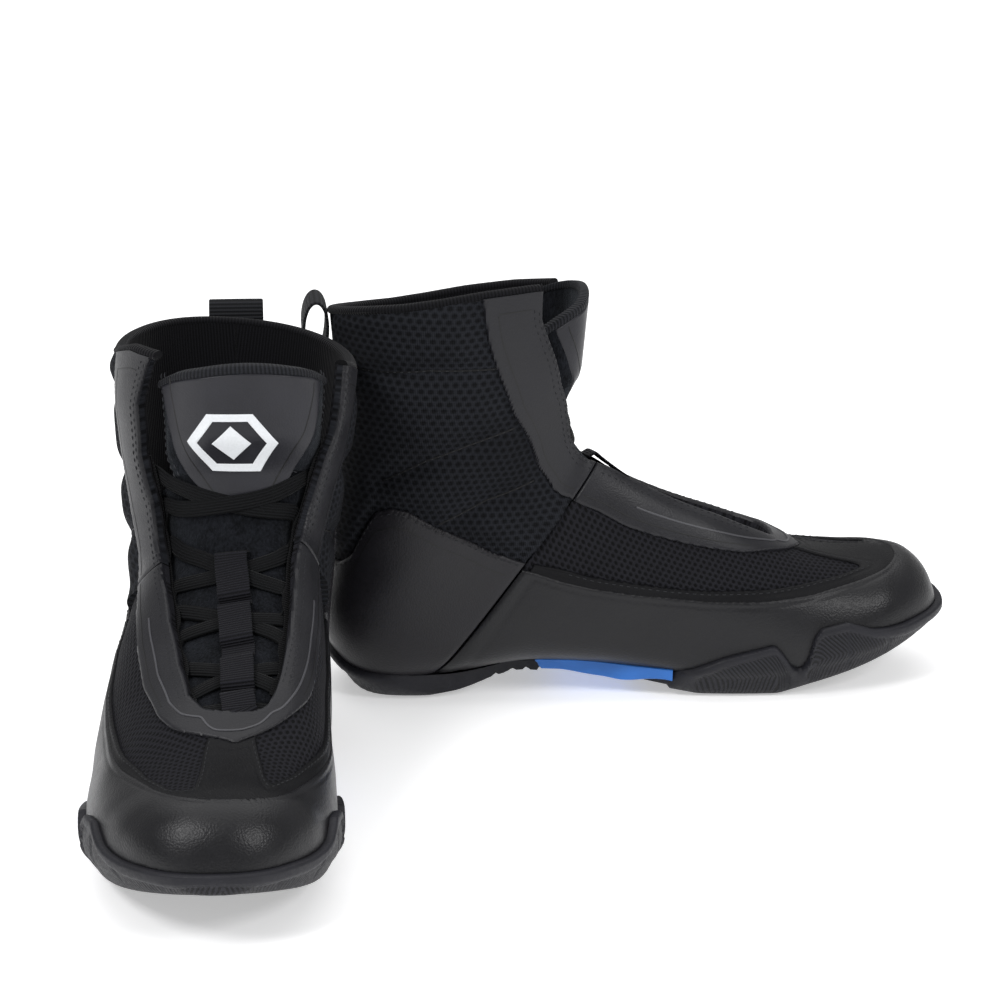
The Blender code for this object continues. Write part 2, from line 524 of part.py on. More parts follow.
def add_sole(boot):
    def facing_down(rows):
        return smooth(0.66, 0.96, -rows[:, 7])

    def inner(rows):
        w = facing_down(rows)[:, None]
        drop = np.zeros((len(rows), 3))
        drop[:, 2] = -(GAP + MIDSOLE_THICKNESS + GAP)
        return rows[:, 2:5] + rows[:, 5:8] * (GAP + OVERLAY_THICKNESS + GAP) * (1 - w) + drop * w

    def outer(rows):
        w = facing_down(rows)[:, None]
        s, x = rows[:, 0], rows[:, 2]
        recess = np.where((s > 8.7) & (s < 10.72), SHANK_THICKNESS + GAP, 0.0)
        to_ground = np.zeros((len(rows), 3))
        to_ground[:, 2] = between(GROUND, x) + recess - rows[:, 4]
        wall = GAP + OVERLAY_THICKNESS + GAP + SOLE_WALL - recess
        return rows[:, 2:5] + rows[:, 5:8] * wall[:, None] * (1 - w) + to_ground * w

    def shank_face(depth):
        def at(rows):
            w = facing_down(rows)[:, None]
            to_ground = np.zeros((len(rows), 3))
            to_ground[:, 2] = between(GROUND, rows[:, 2]) + depth - rows[:, 4]
            wall = GAP + OVERLAY_THICKNESS + GAP + SOLE_WALL - depth
            return rows[:, 2:5] + rows[:, 5:8] * wall * (1 - w) + to_ground * w
        return at

    cup = Patch().cut(lambda s, t, x, y, z: np.where(s < 15.5, sole_top(x, y) - z, -5.0))
    boot.add("outsole", *cup.shell(inner, outer), "rubber")
    shank = Patch().cut(lambda s, t, x, y, z: np.where(s < 15.5, sole_top(x, y) - 0.3 - z, -5.0))
    shank.cut(lambda s, t, x, y, z: (s - 8.73) * 10).cut(lambda s, t, x, y, z: (10.69 - s) * 10)
    boot.add("arch_shank", *shank.shell(shank_face(SHANK_THICKNESS), shank_face(0.0)), "blue")

    def midsole_face(drop):
        def at(rows):
            w = facing_down(rows)[:, None]
            down = np.zeros((len(rows), 3))
            down[:, 2] = -drop
            return rows[:, 2:5] + rows[:, 5:8] * min(drop, GAP + 0.8) * (1 - w) + down * w
        return at

    mid = Patch().cut(lambda s, t, x, y, z: np.where(s < 13.2, board_edge(x) - 0.6 - z, -5.0)).cut(lambda s, t, x, y, z: s - 1.9)
    boot.add("midsole", *mid.shell(midsole_face(GAP), midsole_face(GAP + MIDSOLE_THICKNESS)), "foam")


def tongue_top(t):
    """Height of the tongue's curved top edge round the section."""
    return 188.0 - 160.0 * (np.abs(t + 0.02) ** 2)


def flap_lift(s, t):
    """How far the upper tongue stands in front of the lower tongue's depth."""
    middle = 1 - smooth(0.10, 0.26, np.abs(t + 0.02))
    return 6.4 * middle * smooth(FLAP_HINGE + 0.2, FLAP_HINGE + 2.2, s)


def add_tongue(boot):
    side = boot.side
    under = TONGUE_DEPTH - TONGUE_THICKNESS
    lower = Patch().cut(lambda s, t, x, y, z: (s - 6.25) * 10).cut(lambda s, t, x, y, z: (FLAP_HINGE - 0.07 - s) * 10)
    lower.cut(lambda s, t, x, y, z: 170 * np.minimum(between(THROAT_LATERAL, np.maximum(s, 6.9)) + 0.045 - t, t - between(THROAT_MEDIAL, np.maximum(s, 6.9)) + 0.045))
    boot.add("tongue_lower", *lower.shell(under, TONGUE_DEPTH), "mesh")

    hinge, _ = base_point(FLAP_HINGE, -0.02, TONGUE_DEPTH - 1.3)
    axis = boot.empty("tongue_flap", hinge, boot.frame)

    def face(depth):
        def at(rows):
            lift = flap_lift(rows[:, 0], rows[:, 1])
            return rows[:, 2:5] + rows[:, 5:8] * (depth + lift)[:, None]
        return at

    def spread(s, t, x, y, z):
        half = np.interp(s, [13, 14, 16, 21], [0.15, 0.20, 0.26, 0.275])
        return (half - np.abs(t + 0.02)) * 170

    flap = Patch().cut(lambda s, t, x, y, z: (s - FLAP_HINGE - 0.07) * 10).cut(spread).cut(lambda s, t, x, y, z: tongue_top(t) - 2.2 - z)
    boot.add("tongue_flap", *flap.shell(face(under), face(TONGUE_DEPTH)), "mesh", axis)
    edge = Patch().cut(spread).cut(lambda s, t, x, y, z: tongue_top(t) - z).cut(lambda s, t, x, y, z: z - tongue_top(t) + 1.9)
    boot.add("tongue_binding", *edge.shell(face(under - 0.4), face(TONGUE_DEPTH + 0.5)), "webbing", axis)

    def shield(s, t, x, y, z):
        half = np.interp(z, [133, 137, 145, 158, 175, 190], [0.02, 0.085, 0.115, 0.145, 0.185, 0.20])
        return np.minimum((half - np.abs(t + 0.02)) * 170, tongue_top(t) - 2.4 - z)

    patch = Patch().cut(lambda s, t, x, y, z: (s - FLAP_HINGE - 0.1) * 10).cut(shield)
    boot.add("tongue_patch", *patch.shell(face(TONGUE_DEPTH + GAP + 0.2), face(TONGUE_DEPTH + GAP + 1.2)), "patch", axis)
    return hinge


def throat_middle(s):
    return (between(THROAT_MEDIAL, s) + between(THROAT_LATERAL, s)) / 2


def lace_path():
    """Centre line of the lace as rows of (station, fraction, depth), from one top end down to the bar at the toe and up to the other."""
    low = TONGUE_DEPTH + 0.8
    high = low + LACE_THICKNESS + 0.5
    half_way = low + 0.3 * (high - low)

    def edge(side, n):
        s = (LACE_LATERAL, LACE_MEDIAL)[side][n]
        return s, (between(THROAT_LATERAL, s), between(THROAT_MEDIAL, s))[side]

    def turn(side, n):
        """The half circle that the lace makes under the edge, from place n to place n + 1."""
        (a, ta), (b, tb) = edge(side, n), edge(side, n + 1)
        reach = (0.034, -0.034)[side]
        return [(a + (b - a) * (1 - math.cos(u)) / 2, ta + (tb - ta) * (1 - math.cos(u)) / 2 + reach * math.sin(u), half_way)
                for u in np.linspace(0.35, math.pi - 0.35, 6)]

    def leg(side):
        path = []
        for n, crossing in enumerate(CROSSINGS):
            path += turn(side, 2 * n)
            over = (n % 2 == 0) == (side == 1)
            a, ta = edge(side, 2 * n + 1)
            b, tb = edge(1 - side, 2 * n + 2)
            c, tc = crossing, throat_middle(crossing)
            for f in np.linspace(0.0, 1.0, 13):
                # a curve through the crossing's middle
                w = 4 * f * (1 - f)
                sag = c - (a + b) / 2, tc - (ta + tb) / 2
                near = math.exp(-((f - 0.5) / 0.17) ** 2)
                path.append((a + (b - a) * f + sag[0] * w, ta + (tb - ta) * f + sag[1] * w,
                             half_way + (0.5 if over else -0.5) * near * (high - low)))
            side = 1 - side
        s, t = edge(side, 8)
        path.append((s + 0.25, t + (0.04, -0.04)[side], half_way))
        return path

    bar_ends = edge(0, 0), edge(1, 0)
    bar = [(bar_ends[0][0] + (bar_ends[1][0] - bar_ends[0][0]) * f, bar_ends[0][1] + (bar_ends[1][1] - bar_ends[0][1]) * f, half_way)
           for f in np.linspace(0, 1, 7)]
    return leg(0)[::-1] + bar + leg(1)


def rounded(path, steps=2):
    """Corners cut by Chaikin's rule, ends kept."""
    for _ in range(steps):
        a, b = path[:-1], path[1:]
        path = np.concatenate([path[:1], np.stack([a * 0.75 + b * 0.25, a * 0.25 + b * 0.75], 1).reshape(-1, path.shape[1]), path[-1:]])
    return path


def spaced(path, step):
    run = np.concatenate([[0], np.cumsum(np.linalg.norm(np.diff(path[:, :3], axis=0), axis=1))])
    at = np.linspace(0, run[-1], max(int(run[-1] / step), 2) + 1)
    return np.stack([np.interp(at, run, path[:, c]) for c in range(path.shape[1])], 1)


def add_lacing(boot):
    # lace
    found = [base_point(s, t, off) for s, t, off in lace_path()]
    path = np.concatenate([np.array([f[0] for f in found]), np.array([f[1] for f in found])], 1)
    path = spaced(rounded(path, 1), 5.6)
    boot.add("lace", *ribbon(path[:, :3], path[:, 3:], LACE_WIDTH, LACE_THICKNESS), "lace", turned=True)

    # webbing keeper down the tongue, standing off in a loop over the bar and the lower crossings
    low, high = TONGUE_DEPTH + GAP + 0.2, TONGUE_DEPTH + 0.8 + 2 * LACE_THICKNESS + 0.5 + 0.9
    stations = np.linspace(6.5, 11.8, 48)
    raised = sum(smooth(a - 0.04, a + 0.10, stations) - smooth(b - 0.10, b + 0.04, stations) for a, b in KEEPER_LOOPS)
    found = [base_point(s, throat_middle(s), low + (high - low) * r) for s, r in zip(stations, raised)]
    path = np.array([np.concatenate(f) for f in found])
    boot.add("lace_keeper", *ribbon(path[:, :3], path[:, 3:], KEEPER_WIDTH, KEEPER_THICKNESS), "webbing", turned=True)

    # scalloped webbing with the lace loops, under each edge of the throat
    for name, table, sign in (("lateral", THROAT_LATERAL, 1), ("medial", THROAT_MEDIAL, -1)):
        stations = np.linspace(7.3, 16.2, 34)
        wave = sum(np.exp(-(((stations - r) / 0.42) ** 4)) for r in LOOP_ROWS)
        found = [base_point(s, between(table, s) + sign * 0.018, -MESH_THICKNESS - GAP - 1.7) for s in stations]
        path = np.array([np.concatenate(f) for f in found])
        width = 5.0 + 2.5 * np.minimum(wave, 1)
        boot.add(f"lace_loops_{name}", *ribbon(path[:, :3], path[:, 3:], width, 0.7), "webbing", turned=True)


def add_pull_tab(boot):
    """A strap folded to a loop and stitched at its foot, drawn as a flat outline with a hole and given the strap's width; it stands up and leans back from the heel."""
    foot, _ = base_point(18.6, 1.0, 0.5)
    axis = boot.empty("pull_tab", foot, boot.frame)
    curve = bpy.data.curves.new(f"{boot.side}_pull_tab", "CURVE")
    curve.dimensions = "2D"
    curve.fill_mode = "BOTH"
    curve.extrude = TAB_WIDTH / 2 * MM
    for grow in (TAB_THICKNESS, 0.0):
        spline = curve.splines.new("POLY")
        spline.points.add(23)
        spline.use_cyclic_u = True
        for n, point in enumerate(spline.points):
            a = 2 * math.pi * n / 24
            v = 15.5 - (15.5 - TAB_THICKNESS + grow) * math.cos(a)
            u = 4.6 + (4.6 + grow) * math.sin(a) * (1.0 - 0.18 * math.cos(a)) - 0.085 * (v - 15.5)
            point.co = (u * MM, v * MM, 0, 1)
    curve.materials.append(material("webbing"))
    obj = bpy.data.objects.new(curve.name, curve)
    boot.collection.objects.link(obj)
    obj.parent = axis
    obj.location = (-2.3 * MM, 0, 0.5 * MM)
    # the outline's X points back from the heel and its Y up, leaning back
    obj.rotation_euler = (math.radians(90), 0, math.radians(180))
    obj.rotation_euler.rotate_axis("Z", math.radians(-TAB_LEAN))
    return foot


def main():
    collection = start()
    for side in ("left", "right"):
        boot = Boot(side, collection)
        add_upper(boot)
        add_inside(boot)
        add_sole(boot)
        hinge = add_tongue(boot)
        add_lacing(boot)
        foot = add_pull_tab(boot)
        bpy.context.view_layer.update()
        for name, place in (("tongue fold", hinge), ("pull tab", foot)):
            world = boot.frame.matrix_world @ Matrix.Translation([v * MM for v in place])
            print(side, name, "axis at", [round(v, 5) for v in world.translation])


main()
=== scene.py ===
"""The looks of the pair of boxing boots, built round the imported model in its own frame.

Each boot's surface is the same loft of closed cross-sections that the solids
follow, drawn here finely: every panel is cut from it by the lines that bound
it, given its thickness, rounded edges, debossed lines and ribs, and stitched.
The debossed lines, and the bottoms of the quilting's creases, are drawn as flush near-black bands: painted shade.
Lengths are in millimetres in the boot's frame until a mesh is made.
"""

import math

import bpy
import numpy as np
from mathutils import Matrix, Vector, kdtree


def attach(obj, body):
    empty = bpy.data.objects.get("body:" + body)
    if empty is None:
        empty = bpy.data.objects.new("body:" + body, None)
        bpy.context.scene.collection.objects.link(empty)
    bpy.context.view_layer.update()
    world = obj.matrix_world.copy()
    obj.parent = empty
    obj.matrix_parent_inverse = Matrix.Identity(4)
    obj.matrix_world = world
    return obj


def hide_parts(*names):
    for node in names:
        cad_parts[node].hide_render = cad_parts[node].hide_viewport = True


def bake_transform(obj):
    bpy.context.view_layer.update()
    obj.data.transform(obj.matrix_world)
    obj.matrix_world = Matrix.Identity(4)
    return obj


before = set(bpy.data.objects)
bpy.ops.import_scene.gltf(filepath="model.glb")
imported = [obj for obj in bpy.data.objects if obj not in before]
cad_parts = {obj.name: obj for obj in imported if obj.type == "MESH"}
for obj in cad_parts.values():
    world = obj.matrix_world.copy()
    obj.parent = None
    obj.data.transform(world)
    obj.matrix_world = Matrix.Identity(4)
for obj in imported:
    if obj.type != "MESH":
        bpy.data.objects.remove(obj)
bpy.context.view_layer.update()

MM = 0.001
GAP, MESH, OVER, LINING = 0.3, 3.0, 1.2, 1.0
STIFF = 1.3
TONGUE, TONGUE_THICK = -8.2, 2.6
LEFT_YAW, RIGHT_YAW = 4.9, -87.2
RIGHT_HEEL, PAIR_CENTRE = (-41.0, -12.5), (100.545, -113.69)
FLAP_HINGE = 14.6

STATIONS = [
    (285.0, 30.0, 285.0, 30.0, 0.0, 0.0, 0.0, 0.0, 0.60, 2.0, 2.0, 2.2),
    (284.0, 35.5, 284.0, 28.3, -0.3, 0.0, 9.0, -8.5, 0.60, 2.0, 2.0, 2.4),
    (280.3, 45.0, 280.3, 27.3, -1.0, 0.0, 18.5, -17.5, 0.66, 2.0, 2.0, 2.6),
    (272.5, 52.8, 272.5, 25.4, -2.0, 0.0, 28.5, -27.0, 0.70, 2.1, 2.1, 3.0),
    (260.0, 56.0, 260.0, 21.6, -3.0, 0.5, 38.0, -36.0, 0.72, 2.2, 2.2, 3.2),
    (242.0, 57.2, 242.0, 16.2, -4.5, 1.5, 46.0, -42.0, 0.74, 2.2, 2.2, 3.4),
    (220.0, 61.4, 220.0, 10.6, -8.0, 3.0, 52.0, -44.5, 0.75, 2.1, 2.4, 3.4),
    (198.0, 73.5, 198.0, 6.6, -17.0, 4.0, 53.5, -44.5, 0.76, 1.9, 2.6, 3.4),
    (177.0, 84.0, 174.0, 6.6, -21.0, 4.0, 52.5, -43.5, 0.76, 1.85, 2.8, 3.4),
    (160.0, 92.0, 148.0, 11.0, -22.0, 3.0, 51.0, -43.0, 0.74, 1.9, 2.9, 3.2),
    (146.0, 99.5, 120.0, 15.0, -22.0, 2.0, 48.5, -43.0, 0.70, 2.0, 3.0, 3.2),
    (134.5, 107.5, 88.0, 15.5, -21.0, 1.0, 46.0, -43.0, 0.66, 2.1, 3.0, 3.0),
    (126.0, 115.0, 50.0, 9.5, -20.0, 0.0, 43.0, -42.5, 0.62, 2.3, 3.2, 3.0),
    (120.5, 122.5, 14.0, 9.0, -17.0, 0.0, 40.5, -43.0, 0.55, 2.4, 3.4, 2.8),
    (117.5, 131.0, 0.5, 32.0, -14.0, -1.0, 40.0, -45.0, 0.52, 2.5, 3.8, 2.5),
    (116.5, 140.0, 1.5, 62.0, -12.0, -2.0, 41.0, -47.0, 0.50, 2.6, 4.2, 2.4),
    (116.6, 150.0, 5.5, 92.0, -10.5, -3.0, 42.0, -50.0, 0.50, 2.6, 4.2, 2.3),
    (117.6, 160.0, 7.5, 118.0, -10.0, -4.0, 43.0, -53.0, 0.50, 2.5, 3.8, 2.2),
    (119.0, 170.0, 7.5, 142.0, -9.5, -5.0, 44.0, -55.5, 0.50, 2.4, 3.2, 2.2),
    (120.5, 180.0, 6.5, 162.0, -9.0, -5.5, 44.5, -57.0, 0.50, 2.3, 2.7, 2.2),
    (122.0, 190.0, 5.0, 180.0, -8.5, -6.0, 44.5, -58.0, 0.50, 2.2, 2.4, 2.2),
    (123.8, 202.0, 2.5, 200.0, -8.0, -6.5, 44.5, -58.5, 0.50, 2.2, 2.3, 2.2),
]
COLLAR = {
    "left": ([(0, 180), (17, 180.5), (35, 181.5), (51, 183.5), (70, 186.5), (93, 189), (125, 190)], -0.22),
    "right": ([(0, 178), (30, 176.5), (60, 176), (80, 181), (99, 188), (125, 189)], 0.09),
}
HEEL_PANEL_TOP = [(0, 64), (3, 65.5), (8, 67), (13, 72), (18, 84), (23, 94), (30, 97), (37, 96), (49, 88.5), (62, 82), (75, 74.5), (89, 69), (110, 64)]
WINDOW_FOOT = [(60, 75), (92, 68.5), (108, 65), (121, 61), (142, 57), (156, 54.5), (174, 52.5), (197, 52), (215, 52), (234, 52.5), (253, 54.5), (262, 58), (290, 75)]
RAND_TOP = [(60, 71), (92, 65), (106, 60), (121, 56), (140, 52.5), (174, 48), (197, 47), (221, 47.5), (246, 50.5), (258, 53), (268, 56), (273, 60), (290, 80)]
SOLE_TOP = [(-5, 27), (0, 25), (5, 21.5), (11, 17), (16, 15.6), (25, 14.6), (58, 14), (71, 15.5), (91, 17), (98, 17.5), (144, 15.3), (158, 14.2), (166, 16), (180, 21.2), (202, 26.5), (204.5, 26.5), (208, 22.5), (212, 17), (216, 15.5), (219.5, 20), (221.5, 29), (225, 33.5), (237, 35.5), (249, 31.8), (256, 31.5), (264, 31.8), (272, 33), (282, 34), (290, 34)]
GROUND = [(-5, 9), (0, 7), (5, 3.2), (9, 1.0), (13, 0), (47, 0), (60, 2.6), (75, 7.5), (90, 9.6), (110, 10), (128, 8.5), (145, 5.6), (158, 2.2), (170, 0), (207, 0), (220, 4), (245, 10.8), (260, 15.6), (272, 20), (281, 23.5), (290, 28)]
THROAT_LATERAL = [(6.60, 0.02), (6.65, 0.08), (6.8, 0.145), (7.25, 0.20), (8.24, 0.24), (9.74, 0.27), (11.2, 0.27), (12.7, 0.245), (14.5, 0.24), (16.3, 0.28), (18.15, 0.28), (19.7, 0.235), (20.5, 0.20), (21, 0.19)]
THROAT_MEDIAL = [(6.60, 0.02), (6.64, -0.02), (6.75, -0.035), (7.1, -0.04), (8, -0.042), (9.8, -0.055), (11.5, -0.07), (12.3, -0.085), (13.5, -0.12), (14.7, -0.16), (15.8, -0.20), (16.9, -0.245), (18.6, -0.285), (19.7, -0.31), (21, -0.31)]
EYESTAY_LATERAL = [(6.02, 0.0), (6.08, 0.05), (6.15, 0.09), (6.38, 0.19), (6.95, 0.27), (8.12, 0.34), (9.5, 0.37), (10.86, 0.37), (12.4, 0.345), (13.4, 0.33), (15.15, 0.36), (16.7, 0.42), (18.2, 0.43), (20, 0.38), (21, 0.34)]
EYESTAY_MEDIAL = [(6.02, 0.0), (6.08, -0.02), (6.15, -0.05), (6.4, -0.09), (6.8, -0.12), (7.3, -0.15), (7.8, -0.165), (8.75, -0.185), (9.7, -0.20), (10.4, -0.205), (11.3, -0.195), (12.36, -0.19), (13.4, -0.205), (15.15, -0.28), (16.7, -0.37), (18.2, -0.42), (19.1, -0.44), (21, -0.46)]
WINDOW_INNER_LATERAL = [(3, 0.15), (3.9, 0.12), (5.2, 0.10), (6.2, 0.10), (8, 0.10)]
WINDOW_INNER_MEDIAL = [(3, -0.2), (4.2, -0.18), (5.3, -0.11), (6.1, -0.05), (8, -0.05)]
LACE_LATERAL = [7.10, 7.65, 8.45, 9.55, 10.40, 11.40, 13.05, 14.25, 15.40]
LACE_MEDIAL = [6.85, 7.35, 7.85, 8.65, 9.30, 10.35, 11.80, 13.50, 14.90]
CROSSINGS = [7.8, 9.42, 11.1, 13.65]
KEEPER_LOOPS = [(6.62, 7.34), (7.42, 8.27), (8.70, 9.95), (10.15, 11.78)]
LOOP_ROWS = [7.35, 9.0, 10.9, 13.65, 15.6]

EASE = {id(SOLE_TOP): 8, id(THROAT_LATERAL): 9, id(THROAT_MEDIAL): 9, id(EYESTAY_LATERAL): 40, id(EYESTAY_MEDIAL): 40, id(HEEL_PANEL_TOP): 22, id(WINDOW_FOOT): 30, id(RAND_TOP): 30, id(GROUND): 20}

# ------------------------------------------------------------------ the loft
K = np.array(STATIONS)


def keyed(s):
    s = np.clip(np.asarray(s, float), 0, len(K) - 1)
    i = np.clip(np.floor(s).astype(int), 0, len(K) - 2)
    u = (s - i)[..., None]
    p1, p2 = K[i], K[i + 1]
    p0 = np.where((i > 0)[..., None], K[np.maximum(i - 1, 0)], 2 * p1 - p2)
    p3 = np.where((i < len(K) - 2)[..., None], K[np.minimum(i + 2, len(K) - 1)], 2 * p2 - p1)

    def chord(a, b):
        return np.maximum(np.sqrt(((a[..., :4] - b[..., :4]) ** 2).sum(-1)), 1e-6)[..., None]

    d0, d1, d2 = chord(p0, p1), chord(p1, p2), chord(p2, p3)
    m1 = d1 * ((p1 - p0) / d0 * d1 + (p2 - p1) / d1 * d0) / (d0 + d1)
    m2 = d1 * ((p2 - p1) / d1 * d2 + (p3 - p2) / d2 * d1) / (d1 + d2)
    h = u * u * (3 - 2 * u)
    return (1 - h) * p1 + h * p2 + u * (1 - u) * ((1 - u) * m1 - u * m2)


def half_section(k, side, count=181):
    a = np.linspace(0, math.pi, count)
    c, n = np.abs(np.cos(a)), np.sin(a)
    k = k[..., None, :]
    p, n1, n2 = k[..., 8], k[..., 9 if side > 0 else 10], k[..., 11]
    first = a <= math.pi / 2
    e = np.where(first, 2 / n1, 2 / n2)
    f = np.where(first, p * (1 - c ** e), p + (1 - p) * c ** e)
    w = np.maximum(n, 0) ** e
    middle = k[..., 4] * (1 - f) + k[..., 5] * f
    y = middle + (k[..., 6 if side > 0 else 7] - middle) * w
    return np.stack([k[..., 0] * (1 - f) + k[..., 2] * f, y, k[..., 1] * (1 - f) + k[..., 3] * f], -1)


def loft(s, t):
    s, t = np.atleast_1d(s), np.atleast_1d(t)
    k = keyed(s)
    out = np.empty((len(s), len(t), 3))
    for side, pick in ((1, t >= 0), (-1, t < 0)):
        half = half_section(k, side)
        run = np.concatenate([np.zeros((len(s), 1)), np.cumsum(np.sqrt((np.diff(half, axis=1) ** 2).sum(-1)), 1)], 1)
        for i in range(len(s)):
            for c in range(3):
                out[i, pick, c] = np.interp(np.abs(t[pick]) * run[i, -1], run[i], half[i, :, c]) if run[i, -1] > 0.5 else half[i, 0, c]
    return out


_dense = {}


def between(table, x):
    """The table's value at x, its corners eased over about 2% of its span."""
    key = id(table)
    if key not in _dense:
        a, b = np.array([row[0] for row in table], float), np.array([row[1] for row in table], float)
        grid = np.linspace(a[0], a[-1], 1500)
        v = np.interp(grid, a, b)
        w = np.hanning(2 * EASE.get(key, 15) + 1)
        n = len(w) // 2
        v = np.convolve(np.concatenate([np.full(n, v[0]), v, np.full(n, v[-1])]), w / w.sum(), "valid")
        _dense[key] = (grid, v)
    return np.interp(x, *_dense[key])


def smooth(low, high, x):
    u = np.clip((x - low) / (high - low), 0, 1)
    return u * u * (3 - 2 * u)


STEP = 1.15
_t = np.linspace(-1, 1, 361)
_s = np.linspace(0, 21, 631)
_rail = loft(_s, np.array([0.0, 0.3, 0.6, -0.3, -0.6]))
_run = np.concatenate([[0], np.cumsum(np.sqrt((np.diff(_rail, axis=0) ** 2).sum(-1)).mean(1))])
S = np.interp(np.linspace(0, _run[-1], int(_run[-1] / STEP) + 1), _run, _s)
T = np.linspace(-1, 1, 321)
P = loft(S, T)
COLS = len(T) - 1


def grid_normals():
    du = np.gradient(P, axis=0)
    wrapped = np.concatenate([P[:, -2:-1], P, P[:, 1:2]], 1)
    dv = (wrapped[:, 2:] - wrapped[:, :-2]) / 2
    n = np.cross(du, dv)
    n /= np.maximum(np.linalg.norm(n, axis=-1, keepdims=True), 1e-9)
    centre = P[:, :-1].mean(1, keepdims=True)
    if ((P - centre) * n).sum() < 0:
        n = -n
    n[0] = (1, 0, 0)
    # a little smoothing, which rounds the loft's tight corners for the offsets
    for _ in range(3):
        m = n.copy()
        m[1:-1] = n[:-2] + 2 * n[1:-1] + n[2:]
        r = np.concatenate([m[:, -2:-1], m, m[:, 1:2]], 1)
        n = r[:, 2:] + 2 * r[:, 1:-1] + r[:, :-2]
        n /= np.linalg.norm(n, axis=-1, keepdims=True)
        n[0] = (1, 0, 0)
    return n


N = grid_normals()
# Flat coordinates for weaves: FOOT is x by the way up round the section, SHAFT the way round by z.
_d = np.diff(P, axis=1)
_up = np.sqrt(_d[..., 1] ** 2 + _d[..., 2] ** 2)
_round = np.sqrt(_d[..., 0] ** 2 + _d[..., 1] ** 2)
_mid = len(T) // 2


def from_front(step):
    """Distance round each section from its front line, lateral positive and medial negative."""
    out = np.zeros(P.shape[:2])
    out[:, _mid + 1:] = np.cumsum(step[:, _mid:], 1)
    out[:, :_mid] = -np.cumsum(step[:, :_mid][:, ::-1], 1)[:, ::-1]
    return out


W_FOOT, W_SHAFT = from_front(_up), from_front(_round)


def base():
    """Rows of s, t, x, y, z, nx, ny, nz, foot w, shaft w; and triangles that face out."""
    n_s = len(S)
    rows = np.zeros((1 + (n_s - 1) * COLS, 10))
    rows[0] = (0, 0, *P[0, 0], 1, 0, 0, 0, 0)
    rows[1:, 0] = np.repeat(S[1:], COLS)
    rows[1:, 1] = np.tile(T[:-1], n_s - 1)
    rows[1:, 2:5] = P[1:, :-1].reshape(-1, 3)
    rows[1:, 5:8] = N[1:, :-1].reshape(-1, 3)
    rows[1:, 8] = W_FOOT[1:, :-1].reshape(-1)
    rows[1:, 9] = W_SHAFT[1:, :-1].reshape(-1)
    i = np.arange(n_s - 2)[:, None]
    j = np.arange(COLS)[None]
    a, b = 1 + i * COLS + j, 1 + (i + 1) * COLS + j
    k = (j + 1) % COLS
    c, d = 1 + (i + 1) * COLS + k, 1 + i * COLS + k
    quads = np.concatenate([np.stack([a, b, c], -1).reshape(-1, 3), np.stack([a, c, d], -1).reshape(-1, 3)])
    jj = np.arange(COLS)
    fan = np.stack([np.zeros(COLS, int), 1 + jj, 1 + (jj + 1) % COLS], -1)
    tris = np.concatenate([fan, quads])
    p = rows[:, 2:5]
    n = np.cross(p[tris[:, 1]] - p[tris[:, 0]], p[tris[:, 2]] - p[tris[:, 0]])
    if (n * rows[tris[:, 0], 5:8]).sum() < 0:
        tris = tris[:, ::-1]
    return rows, tris


ROWS, TRIS = base()


